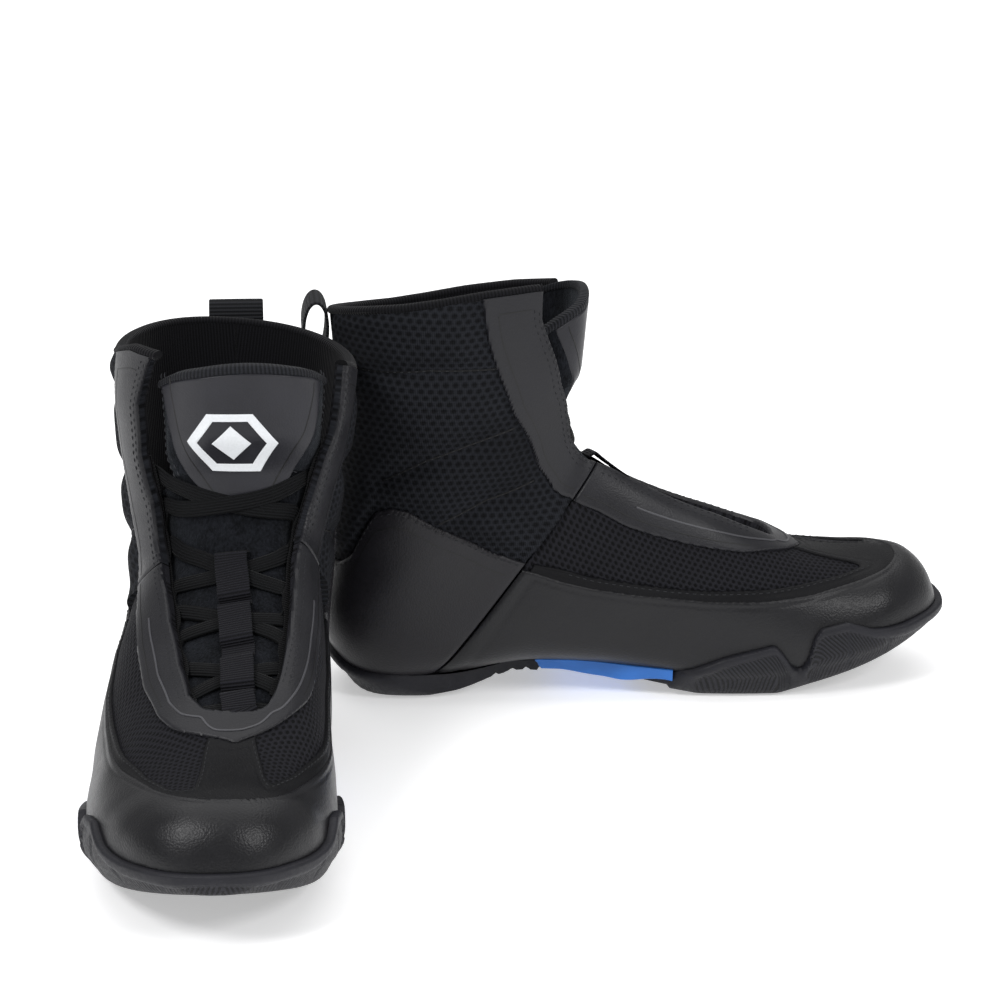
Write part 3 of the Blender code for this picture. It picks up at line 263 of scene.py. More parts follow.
class Patch:
    """Part of the base mesh, cut along zero lines of functions of its rows. edges holds the cut functions whose edges
    are to be rounded, and border gives the distance to the nearest of them.
    """

    def __init__(self, rows=None, tris=None):
        self.rows = ROWS if rows is None else rows
        self.tris = TRIS if tris is None else tris
        self.edges = []

    def cut(self, function, rounded=True):
        rows, tris = self.rows, self.tris
        v = function(rows)
        v = np.where(np.abs(v) < 0.02, 0.0, v)
        f = v[tris]
        keep = (f >= 0).all(1) & (f > 0).any(1)
        mixed = (f > 0).any(1) & (f < 0).any(1)
        m = tris[mixed]
        out = [tris[keep]]
        if len(m):
            pairs = np.concatenate([m[:, [0, 1]], m[:, [1, 2]], m[:, [2, 0]]])
            pairs = np.sort(pairs, 1)
            crossing = v[pairs[:, 0]] * v[pairs[:, 1]] < 0
            unique = np.unique(pairs[crossing], axis=0)
            w = (v[unique[:, 0]] / (v[unique[:, 0]] - v[unique[:, 1]]))[:, None]
            low, high = rows[unique[:, 0]].copy(), rows[unique[:, 1]].copy()
            wrap = np.abs(low[:, 1] - high[:, 1]) > 1
            high[wrap, 1] += np.where(high[wrap, 1] < low[wrap, 1], 2, -2)
            for c in (8, 9):
                jump = wrap & (np.sign(low[:, c]) != np.sign(high[:, c]))
                high[jump, c] = -high[jump, c]
            new = low + (high - low) * w
            new[:, 1] = (new[:, 1] + 1) % 2 - 1
            new[:, 5:8] /= np.linalg.norm(new[:, 5:8], axis=1, keepdims=True)
            start = len(rows)
            code = unique[:, 0].astype(np.int64) * len(rows) + unique[:, 1]
            rows = np.concatenate([rows, new])
            v = np.concatenate([v, np.zeros(len(new))])

            def at(a, b):
                lo, hi = np.minimum(a, b), np.maximum(a, b)
                return start + np.searchsorted(code, lo.astype(np.int64) * (start) + hi)

            for r in range(3):
                a, b, c = m[:, r], m[:, (r + 1) % 3], m[:, (r + 2) % 3]
                va, vb, vc = v[a], v[b], v[c]
                one = (va > 0) & (vb < 0) & (vc < 0)
                if one.any():
                    out.append(np.stack([a[one], at(a[one], b[one]), at(a[one], c[one])], 1))
                two = (va < 0) & (vb > 0) & (vc > 0)
                if two.any():
                    ab, ac = at(a[two], b[two]), at(a[two], c[two])
                    out.append(np.stack([ab, b[two], c[two]], 1))
                    out.append(np.stack([ab, c[two], ac], 1))
                zero = (va == 0) & (vb > 0) & (vc < 0)
                if zero.any():
                    out.append(np.stack([a[zero], b[zero], at(b[zero], c[zero])], 1))
                zero = (va == 0) & (vb < 0) & (vc > 0)
                if zero.any():
                    out.append(np.stack([a[zero], at(b[zero], c[zero]), c[zero]], 1))
        tris = np.concatenate(out)
        used, index = np.unique(tris, return_inverse=True)
        self.rows, self.tris = rows[used], index.reshape(-1, 3)
        if rounded:
            self.edges.append(function)
        return self

    def border(self):
        """Distance to the rounded cut edges, in millimetres."""
        if not self.edges:
            return np.full(len(self.rows), 99.0)
        return np.maximum(np.min([f(self.rows) for f in self.edges], axis=0), 0)

    def boundary(self):
        e = np.concatenate([self.tris[:, [0, 1]], self.tris[:, [1, 2]], self.tris[:, [2, 0]]])
        code = e[:, 0].astype(np.int64) * len(self.rows) + e[:, 1]
        back = e[:, 1].astype(np.int64) * len(self.rows) + e[:, 0]
        return e[~np.isin(code, back)]

    def shell(self, inner, outer):
        """Points and triangles of the closed shell between two faces, each an offset, an array of offsets or points."""
        rows = self.rows

        def face(by):
            by = by(self) if callable(by) else by
            if np.ndim(by) == 2:
                return by
            return rows[:, 2:5] + rows[:, 5:8] * np.broadcast_to(by, (len(rows),))[:, None]

        top, bottom = face(outer), face(inner)
        n = len(rows)
        edge = self.boundary()
        a, b = edge[:, 0], edge[:, 1]
        walls = np.concatenate([np.stack([b, a, a + n], 1), np.stack([b, a + n, b + n], 1)])
        tris = np.concatenate([self.tris, self.tris[:, ::-1] + n, walls])
        return np.concatenate([top, bottom]), tris, np.concatenate([rows, rows])


def rounding(distance, radius, height):
    """How far the face drops at this distance from a cut edge, for an edge rounded over."""
    u = np.clip(distance / radius, 0, 1)
    return -height * (1 - np.sqrt(1 - (1 - u) ** 2))


# ---------------------------------------------------------------- line tools
def path3d(points, count=200, off=0.0):
    """A smooth line through (s, t) points on the loft: its points and normals, evenly spaced."""
    p = np.array(points, float)
    run = np.concatenate([[0], np.cumsum(np.hypot(np.diff(p[:, 0]), np.diff(p[:, 1]) * 40))])
    u = np.linspace(0, run[-1], 400)
    s, t = np.interp(u, run, p[:, 0]), np.interp(u, run, p[:, 1])
    for _ in range(12):
        s[1:-1] = (s[:-2] + s[1:-1] * 2 + s[2:]) / 4
        t[1:-1] = (t[:-2] + t[1:-1] * 2 + t[2:]) / 4
    q, n = on_surface(s, t)
    run = np.concatenate([[0], np.cumsum(np.linalg.norm(np.diff(q, axis=0), axis=1))])
    u = np.linspace(0, run[-1], count)
    q = np.stack([np.interp(u, run, q[:, c]) for c in range(3)], 1)
    n = np.stack([np.interp(u, run, n[:, c]) for c in range(3)], 1)
    n /= np.linalg.norm(n, axis=1, keepdims=True)
    return q + n * off, n


def on_surface(s, t):
    """Points and normals at matching s and t, by bilinear lookup in the grid."""
    s = np.asarray(s, float)
    t = (np.asarray(t, float) + 1) % 2 - 1
    i = np.clip(np.searchsorted(S, s) - 1, 0, len(S) - 2)
    j = np.clip(((t + 1) / 2 * COLS).astype(int), 0, COLS - 1)
    u = np.clip((s - S[i]) / (S[i + 1] - S[i]), 0, 1)[:, None]
    v = ((t + 1) / 2 * COLS - j)[:, None]

    def mix(g):
        return (g[i, j] * (1 - u) + g[i + 1, j] * u) * (1 - v) + (g[i, j + 1] * (1 - u) + g[i + 1, j + 1] * u) * v

    n = mix(N)
    return mix(P), n / np.linalg.norm(n, axis=1, keepdims=True)


def distance_to(rows, points):
    tree = kdtree.KDTree(len(points))
    for n, p in enumerate(points):
        tree.insert(p, n)
    tree.balance()
    low, high = points.min(0) - 8, points.max(0) + 8
    p = rows[:, 2:5]
    near = ((p > low) & (p < high)).all(1)
    out = np.full(len(rows), 99.0)
    out[near] = [tree.find(q)[2] for q in p[near]]
    return out


def groove(rows, lines, width, depth):
    """Pressed lines: the drop at each row for a round-bottomed channel along the lines' points."""
    d = distance_to(rows, np.concatenate(lines))
    return -depth * (0.5 + 0.5 * np.cos(np.pi * np.clip(d / (width / 2), 0, 1)))


# ----------------------------------------------------------- lines of panels
def r_collar(side, drop=0.0):
    table, slope = COLLAR[side]
    return lambda r: between(table, r[:, 2]) + slope * (r[:, 3] + 7) - drop - r[:, 4]


GIRTH = np.sqrt((_d ** 2).sum(-1))
HALF_L, HALF_M = GIRTH[:, _mid:].sum(1), GIRTH[:, :_mid].sum(1)


def half_length(s, lateral):
    return np.where(lateral, np.interp(s, S, HALF_L), np.interp(s, S, HALF_M))


def side_gap(s, t, table):
    """Millimetres round the section from the table's line to t, positive further round."""
    return (t - between(table, s)) * half_length(s, t >= 0)


def out_of_throat(r, margin=0.0):
    s, t = r[:, 0], r[:, 1]
    a = -side_gap(s, t, THROAT_LATERAL)
    b = side_gap(s, t, THROAT_MEDIAL)
    end = (s - 6.6) * 22
    k = 1.6
    soft = -k * np.log(np.exp(-np.clip(a * 0.93, -60, 60) / k) + np.exp(-np.clip(b * 0.93, -60, 60) / k) + np.exp(-np.clip(end, -60, 60) / k))
    inside = np.where(s < 6.3, end, soft)
    return -inside - margin


def in_eyestay(r):
    s, t = r[:, 0], r[:, 1]
    a, b, c = -side_gap(s, t, EYESTAY_LATERAL) * 0.9 + 1.2, side_gap(s, t, EYESTAY_MEDIAL) * 0.9 + 1.2, (s - 5.9) * 22
    k = 3.0
    return -k * np.log(np.exp(-np.clip(a, -60, 80) / k) + np.exp(-np.clip(b, -60, 80) / k) + np.exp(-np.clip(c, -60, 80) / k))


def in_window(r):
    s, t, x, y, z = (r[:, c] for c in range(5))
    inner = np.where(t >= 0, side_gap(s, t, WINDOW_INNER_LATERAL), -side_gap(s, t, WINDOW_INNER_MEDIAL))
    low = (z - between(WINDOW_FOOT, x)) / np.maximum(np.sqrt(1 - np.clip(r[:, 7], 0, 0.95) ** 2), 0.4)
    front = (s - 3.3) * 14
    # rounded corners: a soft minimum of the three
    k = 2.6
    return -k * np.log(np.exp(-np.clip(inner, -40, 60) / k) + np.exp(-np.clip(low, -40, 60) / k) + np.exp(-np.clip(front, -40, 60) / k))


def rand_line(r):
    x, y, z = r[:, 2], r[:, 3], r[:, 4]
    up = np.maximum(np.sqrt(1 - np.clip(r[:, 7], 0, 0.95) ** 2), 0.4)
    return (between(RAND_TOP, x) + 2.0 * smooth(0, 30, y) - z) / up


def sole_line(r):
    return between(SOLE_TOP, r[:, 2]) - r[:, 4]


def board_edge(x):
    return np.interp(x, [-5, 8, 30, 50, 88, 120, 150, 175, 198, 220, 242, 260, 272, 280, 290],
                     [16, 13.5, 12.5, 12.8, 18.6, 18.2, 14.5, 10.4, 10.2, 14.0, 19.2, 24.0, 27.4, 29.4, 31])


def above_board(r):
    return np.where(r[:, 0] < 13.7, r[:, 4] - board_edge(r[:, 2]) - 0.5, 5.0)


def heel_line(r):
    return between(HEEL_PANEL_TOP, r[:, 2]) - r[:, 4]


def relief(r):
    """Soft unevenness that all layers share, so that nothing is perfectly smooth."""
    x, y, z = r[:, 2], r[:, 3], r[:, 4]
    a = np.sin(x * 0.071 + z * 0.043 + 1.3) * np.sin(y * 0.087 + z * 0.061 + 0.4)
    b = np.sin(x * 0.137 - z * 0.113 + 2.1) * np.sin(y * 0.121 + x * 0.047)
    return (0.30 * a + 0.16 * b) * smooth(14, 34, z)


# ------------------------------------------------------------------ materials
class Nodes:
    """A little help for writing node trees: every call returns an output socket."""

    def __init__(self, name, colour, rough, **sockets):
        self.mat = bpy.data.materials.new(name)
        self.mat.use_nodes = True
        self.tree = self.mat.node_tree
        self.bsdf = self.tree.nodes["Principled BSDF"]
        self.colour = tuple(((v / 255 + 0.055) / 1.055) ** 2.4 for v in colour)
        self.bsdf.inputs["Base Color"].default_value = (*self.colour, 1)
        self.bsdf.inputs["Roughness"].default_value = rough
        for key, value in sockets.items():
            self.bsdf.inputs[key.replace("_", " ")].default_value = value

    def node(self, kind, **values):
        n = self.tree.nodes.new(kind)
        for key, value in values.items():
            setattr(n, key, value)
        return n

    def link(self, a, b):
        self.tree.links.new(a, b)

    def put(self, socket, value):
        if hasattr(value, "is_output"):
            self.link(value, socket)
        else:
            socket.default_value = value

    def math(self, op, a, b=0.0, c=0.0, clamp=False):
        n = self.node("ShaderNodeMath", operation=op, use_clamp=clamp)
        for k, v in enumerate((a, b, c)):
            self.put(n.inputs[k], v)
        return n.outputs[0]

    def uv(self, name):
        n = self.node("ShaderNodeUVMap", uv_map=name)
        x = self.node("ShaderNodeSeparateXYZ")
        self.link(n.outputs[0], x.inputs[0])
        return x.outputs[0], x.outputs[1]

    def vector(self, x, y, z=0.0):
        n = self.node("ShaderNodeCombineXYZ")
        for k, v in enumerate((x, y, z)):
            self.put(n.inputs[k], v)
        return n.outputs[0]

    def noise(self, scale, detail=3.0, vector=None, rough=0.55):
        n = self.node("ShaderNodeTexNoise")
        n.inputs["Scale"].default_value = scale
        n.inputs["Detail"].default_value = detail
        n.inputs["Roughness"].default_value = rough
        if vector is None:
            vector = self.node("ShaderNodeTexCoord").outputs["Object"]
        self.link(vector, n.inputs["Vector"])
        return n.outputs["Fac"]

    def voronoi(self, scale, vector=None, feature="F1"):
        n = self.node("ShaderNodeTexVoronoi", feature=feature)
        n.inputs["Scale"].default_value = scale
        if vector is None:
            vector = self.node("ShaderNodeTexCoord").outputs["Object"]
        self.link(vector, n.inputs["Vector"])
        return n.outputs["Distance"]

    def ramp(self, value, low, high, to_low=0.0, to_high=1.0):
        n = self.node("ShaderNodeMapRange", interpolation_type="SMOOTHSTEP")
        for k, v in enumerate((value, low, high, to_low, to_high)):
            self.put(n.inputs[k], v)
        return n.outputs[0]

    def mix(self, factor, dark, light):
        """Base colour between dark and light multiples of the material's colour."""
        n = self.node("ShaderNodeMix", data_type="RGBA")
        self.put(n.inputs[0], factor)
        for socket, k in ((n.inputs[6], dark), (n.inputs[7], light)):
            if np.ndim(k) == 0:
                k = tuple(c * k for c in self.colour)
            socket.default_value = (*k, 1)
        return n.outputs[2]

    def base(self, socket):
        self.link(socket, self.bsdf.inputs["Base Color"])

    def rough(self, socket):
        self.link(socket, self.bsdf.inputs["Roughness"])

    def bump(self, height, strength, distance, normal=None):
        n = self.node("ShaderNodeBump")
        n.inputs["Strength"].default_value = strength
        n.inputs["Distance"].default_value = distance * MM
        self.link(height, n.inputs["Height"])
        if normal is not None:
            self.link(normal, n.inputs["Normal"])
        self.link(n.outputs[0], self.bsdf.inputs["Normal"])
        return n.outputs[0]

    def hexagons(self, u, v, pitch):
        """Distance from the middle of the nearest cell of a hexagonal grid, 0 to about 0.58 in pitches."""
        a = self.math("DIVIDE", u, pitch)
        b = self.math("DIVIDE", v, pitch * math.sqrt(3))

        def cell(shift):
            fa = self.math("SUBTRACT", self.math("FRACT", self.math("ADD", a, shift)), 0.5)
            fb = self.math("MULTIPLY", self.math("SUBTRACT", self.math("FRACT", self.math("ADD", b, shift)), 0.5), math.sqrt(3))
            return self.math("SQRT", self.math("ADD", self.math("MULTIPLY", fa, fa), self.math("MULTIPLY", fb, fb)))

        return self.math("MINIMUM", cell(0.0), cell(0.5))


def skin_material(name, colour, rough, grain=0.5, sheen=0.0, level=0.3):
    """Synthetic leather: fine pebbled grain, slight shading and rubbed variation."""
    m = Nodes(name, colour, rough, Sheen_Weight=sheen, Sheen_Roughness=0.5, Specular_IOR_Level=level)
    cloud = m.noise(55.0, 4.0)
    fine = m.noise(900.0, 3.0)
    m.base(m.mix(m.ramp(m.math("ADD", m.math("MULTIPLY", cloud, 0.7), m.math("MULTIPLY", fine, 0.3)), 0.3, 0.7), 0.84, 1.16))
    m.rough(m.ramp(m.math("ADD", m.math("MULTIPLY", cloud, 0.6), m.math("MULTIPLY", fine, 0.4)), 0.3, 0.7, rough - 0.06, rough + 0.07))
    grains = m.voronoi(1150.0)
    height = m.math("ADD", m.math("MULTIPLY", grains, 0.75), m.math("MULTIPLY", fine, 0.5))
    m.bump(height, grain, 0.22)
    return m.mat


def mesh_material(name, colour, pitch, uv, hole=0.28, lift=1.0):
    """Knitted net: hexagonal holes, each with a rounded rim of yarn, and fine yarn noise. The holes are sunk by bump
    only and painted dark: the dark backing seen through them, deepened by painted shade.
    """
    m = Nodes(name, colour, 0.8, Specular_IOR_Level=0.12)
    u, v = m.uv(uv)
    d = m.hexagons(u, v, pitch)
    yarn = m.noise(1500.0, 2.0)
    cloud = m.noise(40.0, 3.0)
    open_ = m.ramp(d, hole - 0.07, hole + 0.09)
    # the holes' dark colour is the backing seen through them plus painted shade inside them
    shade = m.math("MULTIPLY", open_, m.math("ADD", 0.72, m.math("MULTIPLY", cloud, 0.55)))
    m.base(m.mix(shade, 0.22, 1.25 * lift))
    height = m.math("ADD", m.ramp(d, hole - 0.1, 0.56), m.math("MULTIPLY", yarn, 0.22))
    m.bump(height, 0.9, 0.5)
    return m.mat


def scale_knit_material(name, colour, pitch, uv):
    """Spacer knit: staggered hexagonal cells, darker in their middles, drawn with fine upright threads. The cells'
    middles and the gaps between the threads are sunk by bump and painted darker: painted shade.
    """
    m = Nodes(name, colour, 0.82, Specular_IOR_Level=0.10)
    u, v = m.uv(uv)
    d = m.hexagons(u, m.math("MULTIPLY", v, 1.25), pitch)
    cell = m.ramp(d, 0.14, 0.50)
    thread = m.math("ADD", 0.5, m.math("MULTIPLY", m.math("SINE", m.math("MULTIPLY", u, 2 * math.pi / 0.78)), 0.5))
    loops = m.math("ADD", 0.5, m.math("MULTIPLY", m.math("SINE", m.math("MULTIPLY", v, 2 * math.pi / 1.15)), 0.5))
    yarn = m.noise(1500.0, 2.0)
    cloud = m.noise(38.0, 4.0)
    # cell and thread carry painted shade: darker where the bump sinks
    body = m.math("ADD", m.math("MULTIPLY", cell, 0.62), m.math("ADD", m.math("MULTIPLY", thread, 0.24), m.math("MULTIPLY", loops, 0.10)))
    shade = m.math("MULTIPLY", body, m.math("ADD", 0.55, m.math("MULTIPLY", cloud, 0.9)))
    m.base(m.mix(shade, 0.25, 3.0))
    height = m.math("ADD", m.math("MULTIPLY", cell, 1.0), m.math("ADD", m.math("MULTIPLY", thread, 0.35), m.math("MULTIPLY", yarn, 0.3)))
    m.bump(height, 0.9, 0.45)
    return m.mat


def ribbed_material(name, colour, pitch, uv, along=True, rough=0.75, depth=0.35, twill=0.0, sheen=0.2, rib_shade_contrast=0.55):
    """Webbing or knit with ribs: along says whether ribs repeat along u or along v. The colour follows the rib height,
    with valleys painted darker as painted shade and crests painted lighter as painted highlight.
    """
    m = Nodes(name, colour, rough, Sheen_Weight=sheen, Sheen_Roughness=0.4, Specular_IOR_Level=0.14)
    u, v = m.uv(uv)
    a, b = (u, v) if along else (v, u)
    if twill:
        a = m.math("ADD", a, m.math("MULTIPLY", b, twill))
    wave = m.math("SINE", m.math("MULTIPLY", a, 2 * math.pi / pitch))
    cross = m.math("SINE", m.math("MULTIPLY", b, 2 * math.pi / (pitch * 0.55)))
    yarn = m.noise(1600.0, 2.0)
    height = m.math("ADD", m.math("MULTIPLY", m.math("ADD", wave, 1.0), 0.5), m.math("ADD", m.math("MULTIPLY", cross, 0.10), m.math("MULTIPLY", yarn, 0.25)))
    # painted shade in the rib valleys and painted highlight on the crests
    m.base(m.mix(m.ramp(height, 0.1, 1.1), 1.0 - rib_shade_contrast, 1.0 + rib_shade_contrast * 0.6))
    m.bump(height, 0.8, depth)
    return m.mat


def fleece_material(name, colour):
    m = Nodes(name, colour, 0.95, Sheen_Weight=0.14, Sheen_Roughness=0.5, Specular_IOR_Level=0.05)
    m.bsdf.inputs["Sheen Tint"].default_value = (0.55, 0.6, 0.66, 1)
    coord = m.node("ShaderNodeTexCoord").outputs["Object"]
    mapped = m.node("ShaderNodeMapping")
    mapped.inputs["Scale"].default_value = (1.0, 1.0, 0.45)
    m.link(coord, mapped.inputs["Vector"])
    nap = m.noise(900.0, 5.0, mapped.outputs[0], 0.7)
    cloud = m.noise(70.0, 4.0)
    m.base(m.mix(m.ramp(m.math("ADD", m.math("MULTIPLY", nap, 0.6), m.math("MULTIPLY", cloud, 0.4)), 0.35, 0.68), 0.35, 3.2))
    m.bump(nap, 0.9, 0.6)
    return m.mat


def rubber_material(name, colour, ribs=False):
    m = Nodes(name, colour, 0.55, Specular_IOR_Level=0.26)
    fine = m.noise(700.0, 4.0)
    cloud = m.noise(45.0, 3.0)
    shade = m.ramp(m.math("ADD", m.math("MULTIPLY", cloud, 0.75), m.math("MULTIPLY", fine, 0.25)), 0.3, 0.7, 0.62, 1.0)
    height = m.math("ADD", m.math("MULTIPLY", fine, 0.16), m.math("MULTIPLY", m.voronoi(1400.0), 0.08))
    if ribs:
        a, b = m.uv("ribs")
        mask, _ = m.uv("mask")
        wave = m.math("ADD", 0.5, m.math("MULTIPLY", m.math("SINE", m.math("MULTIPLY", a, 2 * math.pi / 1.9)), 0.5))
        # the rib grooves are sunk by bump and painted darker, painted shade; the rib tops between them are painted
        # lighter, painted highlight
        cut = m.math("MULTIPLY", m.math("SUBTRACT", 1.0, m.ramp(wave, 0.15, 0.6)), mask)
        shade = m.math("MULTIPLY", shade, m.math("SUBTRACT", 1.0, m.math("MULTIPLY", cut, 0.8)))
        shade = m.math("ADD", shade, m.math("MULTIPLY", m.math("SUBTRACT", mask, cut), 0.25))
        height = m.math("SUBTRACT", height, cut)
    m.base(m.mix(shade, 0.10, 1.30))
    m.rough(m.ramp(fine, 0.3, 0.7, 0.48, 0.64))
    m.bump(height, 0.8, 0.6)
    return m.mat


def plastic_material(name, colour):
    m = Nodes(name, colour, 0.42, Specular_IOR_Level=0.3)
    cloud = m.noise(60.0, 3.0)
    fine = m.noise(800.0, 3.0)
    m.base(m.mix(m.ramp(cloud, 0.3, 0.7), 0.9, 1.08))
    m.rough(m.ramp(fine, 0.3, 0.7, 0.34, 0.44))
    m.bump(fine, 0.2, 0.08)
    return m.mat


# recipe for real print (the white mark) and for the near-black bands that paint the shade of debossed lines
def print_and_shade_material(name, colour):
    m = Nodes(name, colour, 0.5, Specular_IOR_Level=0.4)
    fine = m.noise(1000.0, 3.0)
    m.base(m.mix(m.ramp(fine, 0.3, 0.7), 0.94, 1.0))
    m.bump(fine, 0.25, 0.08)
    return m.mat


# recipe for thread, and for the near-black band that paints the shade in the quilting's creases
def thread_and_shade_material(name, colour):
    m = Nodes(name, colour, 0.6, Specular_IOR_Level=0.25)
    twist = m.noise(2500.0, 2.0)
    m.base(m.mix(m.ramp(twist, 0.3, 0.7), 0.75, 1.25))
    m.bump(twist, 0.6, 0.1)
    return m.mat


MATERIALS = {
    "rand": skin_material("synthetic_rand", (18, 18, 21), 0.38, level=0.30),
    "panel": skin_material("synthetic_panel", (9, 9, 12), 0.52, level=0.15),
    "heel": skin_material("synthetic_heel", (25, 24, 28), 0.42, level=0.30),
    "eyestay": skin_material("synthetic_eyestay", (26, 26, 30), 0.42, grain=0.35, level=0.30),
    "patch": skin_material("synthetic_patch", (36, 36, 41), 0.44, grain=0.3, level=0.30),
    "quarter": scale_knit_material("spacer_knit", (17, 18, 21), 4.2, "shaft"),
    "vamp": mesh_material("open_net", (25, 25, 29), 2.7, "foot"),
    "rubber": rubber_material("sole_rubber", (27, 27, 32), True),
    # near-black bands laid flush along debossed lines: painted shade standing in for the shade of a groove
    "pressed_shade": print_and_shade_material("pressed_line_shade", (6, 6, 8)),
    "ridge": skin_material("raised_line", (62, 62, 66), 0.42, grain=0.2, level=0.4),
    # near-black band along the quilting's creases: painted shade; the stitches on it are modelled apart
    "quilt_shade": thread_and_shade_material("quilt_crease_shade", (5, 5, 7)),
    "blue": plastic_material("blue_plastic", (46, 106, 184)),
    "lining": ribbed_material("lining_knit", (17, 17, 20), 1.5, "shaft", along=True, rough=0.95, depth=0.3, sheen=0.06),
    "fleece": fleece_material("tongue_fleece", (13, 14, 17)),
    "keeper": ribbed_material("keeper_webbing", (22, 22, 27), 1.25, "strip", along=True, depth=0.45, rib_shade_contrast=0.6, sheen=0.04),
    "tab": ribbed_material("tab_webbing", (26, 27, 30), 1.5, "strip", along=True, depth=0.4, sheen=0.04),
    "loops": ribbed_material("loop_webbing", (9, 9, 11), 1.2, "strip", along=True, depth=0.35, sheen=0.03),
    "lace": ribbed_material("lace_weave", (11, 12, 14), 1.25, "strip", along=False, depth=0.4, rib_shade_contrast=0.6, sheen=0.04),
    "binding": ribbed_material("rib_binding", (30, 31, 35), 1.5, "strip", along=True, depth=0.4, sheen=0.04),
    "stitch": thread_and_shade_material("thread", (34, 35, 38)),
    "stitch_light": thread_and_shade_material("thread_light", (52, 53, 57)),
    "mark": print_and_shade_material("white_print", (226, 229, 232)),
    "foam": rubber_material("foam", (60, 60, 64)),
    "sock": fleece_material("sock_cover", (16, 16, 19)),
}


# -------------------------------------------------------------------- making
def placed(side, points):
    """Points from the boot's frame to the row's, in metres."""
    yaw = math.radians(LEFT_YAW if side == "left" else RIGHT_YAW)
    ox, oy = (0, 0) if side == "left" else RIGHT_HEEL
    x, y, z = points[:, 0], points[:, 1] * (1 if side == "left" else -1), points[:, 2]
    c, s = math.cos(yaw), math.sin(yaw)
    return np.stack([ox - PAIR_CENTRE[0] + c * x - s * y, oy - PAIR_CENTRE[1] + s * x + c * y, z], 1) * MM


def make(side, name, points, faces, material, uvs=None, body=None, nodes=(), sharp=48.0, quads=False):
    """A mesh piece riding on its body, in place of the CAD nodes named."""
    faces = np.asarray(faces)
    if side == "right":
        faces = faces[:, ::-1]
    mesh = bpy.data.meshes.new(f"{side}_{name}_v")
    k = faces.shape[1]
    mesh.vertices.add(len(points))
    mesh.vertices.foreach_set("co", placed(side, np.asarray(points)).astype(np.float32).ravel())
    mesh.loops.add(faces.size)
    mesh.loops.foreach_set("vertex_index", faces.ravel().astype(np.int32))
    mesh.polygons.add(len(faces))
    mesh.polygons.foreach_set("loop_start", np.arange(0, faces.size, k, dtype=np.int32))
    mesh.polygons.foreach_set("loop_total", np.full(len(faces), k, np.int32))
    mesh.update(calc_edges=True)
    mesh.validate()
    for key, uv in (uvs or {}).items():
        layer = mesh.uv_layers.new(name=key)
        index = np.empty(len(mesh.loops), np.int32)
        mesh.loops.foreach_get("vertex_index", index)
        layer.data.foreach_set("uv", np.asarray(uv, np.float32)[index].ravel())
    mesh.shade_smooth()
    mesh.set_sharp_from_angle(angle=math.radians(sharp))
    mesh.materials.append(MATERIALS[material])
    obj = bpy.data.objects.new(f"{side}_{name}_v", mesh)
    bpy.context.scene.collection.objects.link(obj)
    if body != "":
        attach(obj, f"{side}_{body or 'boot'}")
    if nodes:
        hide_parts(*[f"{side}_{n}" for n in nodes])
    return obj


def make_shell(side, name, patch, inner, outer, material, **more):
    points, tris, rows = patch.shell(inner, outer)
    uvs = {"foot": rows[:, [2, 8]], "shaft": np.stack([rows[:, 9], rows[:, 4]], 1)}
    # a seam column stretches the flat coordinates across the back
    return make(side, name, points, tris, material, uvs=uvs, **more)


def strip(path, normals, width, thickness, ends=True, bulge=0.25, closed=False):
    """A flat strap along path, its face square to the normals: points, quads and flat coordinates. Its edges are rounded."""
    path, normals = np.asarray(path, float), np.asarray(normals, float)
    along = (np.roll(path, -1, 0) - np.roll(path, 1, 0)) if closed else np.gradient(path, axis=0)
    along /= np.linalg.norm(along, axis=1, keepdims=True)
    side = np.cross(normals, along)
    side /= np.linalg.norm(side, axis=1, keepdims=True)
    up = np.cross(along, side)
    width = np.broadcast_to(width, (len(path),))
    r = thickness / 2
    profile = []
    for a in np.linspace(-90, 90, 7):
        profile.append((0.5, r * math.cos(math.radians(a)) - r, r + r * math.sin(math.radians(a))))
    for f in np.linspace(0.5, -0.5, 9)[1:-1]:
        profile.append((f, 0.0, thickness + bulge * thickness * (1 - (2 * f) ** 2)))
    for a in np.linspace(90, 270, 7):
        profile.append((-0.5, r * math.cos(math.radians(a)) + r, r + r * math.sin(math.radians(a))))
    for f in np.linspace(-0.5, 0.5, 9)[1:-1]:
        profile.append((f, 0.0, 0.0))
    profile = np.array(profile)
    n, k = len(path), len(profile)
    across = profile[:, 0][None] * width[:, None] + profile[:, 1][None]
    points = path[:, None] + side[:, None] * across[..., None] + up[:, None] * profile[:, 2][None, :, None]
    run = np.concatenate([[0], np.cumsum(np.linalg.norm(np.diff(path, axis=0), axis=1))])
    uv = np.stack([np.broadcast_to(run[:, None], (n, k)), across], -1).reshape(-1, 2)
    i = np.arange(n if closed else n - 1)[:, None]
    j = np.arange(k)[None]
    ni, nj = (i + 1) % n, (j + 1) % k
    quads = np.stack([i * k + j, i * k + nj, ni * k + nj, ni * k + j], -1).reshape(-1, 4)
    tris = np.concatenate([quads[:, [0, 1, 2]], quads[:, [0, 2, 3]]])
    points = points.reshape(-1, 3)
    if not closed:
        a = np.arange(1, k - 1)
        first = np.stack([np.zeros(k - 2, int), a + 1, a], 1)
        last = np.stack([np.zeros(k - 2, int), a, a + 1], 1) + (n - 1) * k
        tris = np.concatenate([tris, first, last])
    p = points[tris]
    if np.einsum("ij,ij->i", p[:, 0], np.cross(p[:, 1], p[:, 2])).sum() < 0:
        tris = tris[:, ::-1]
    return points, tris, uv


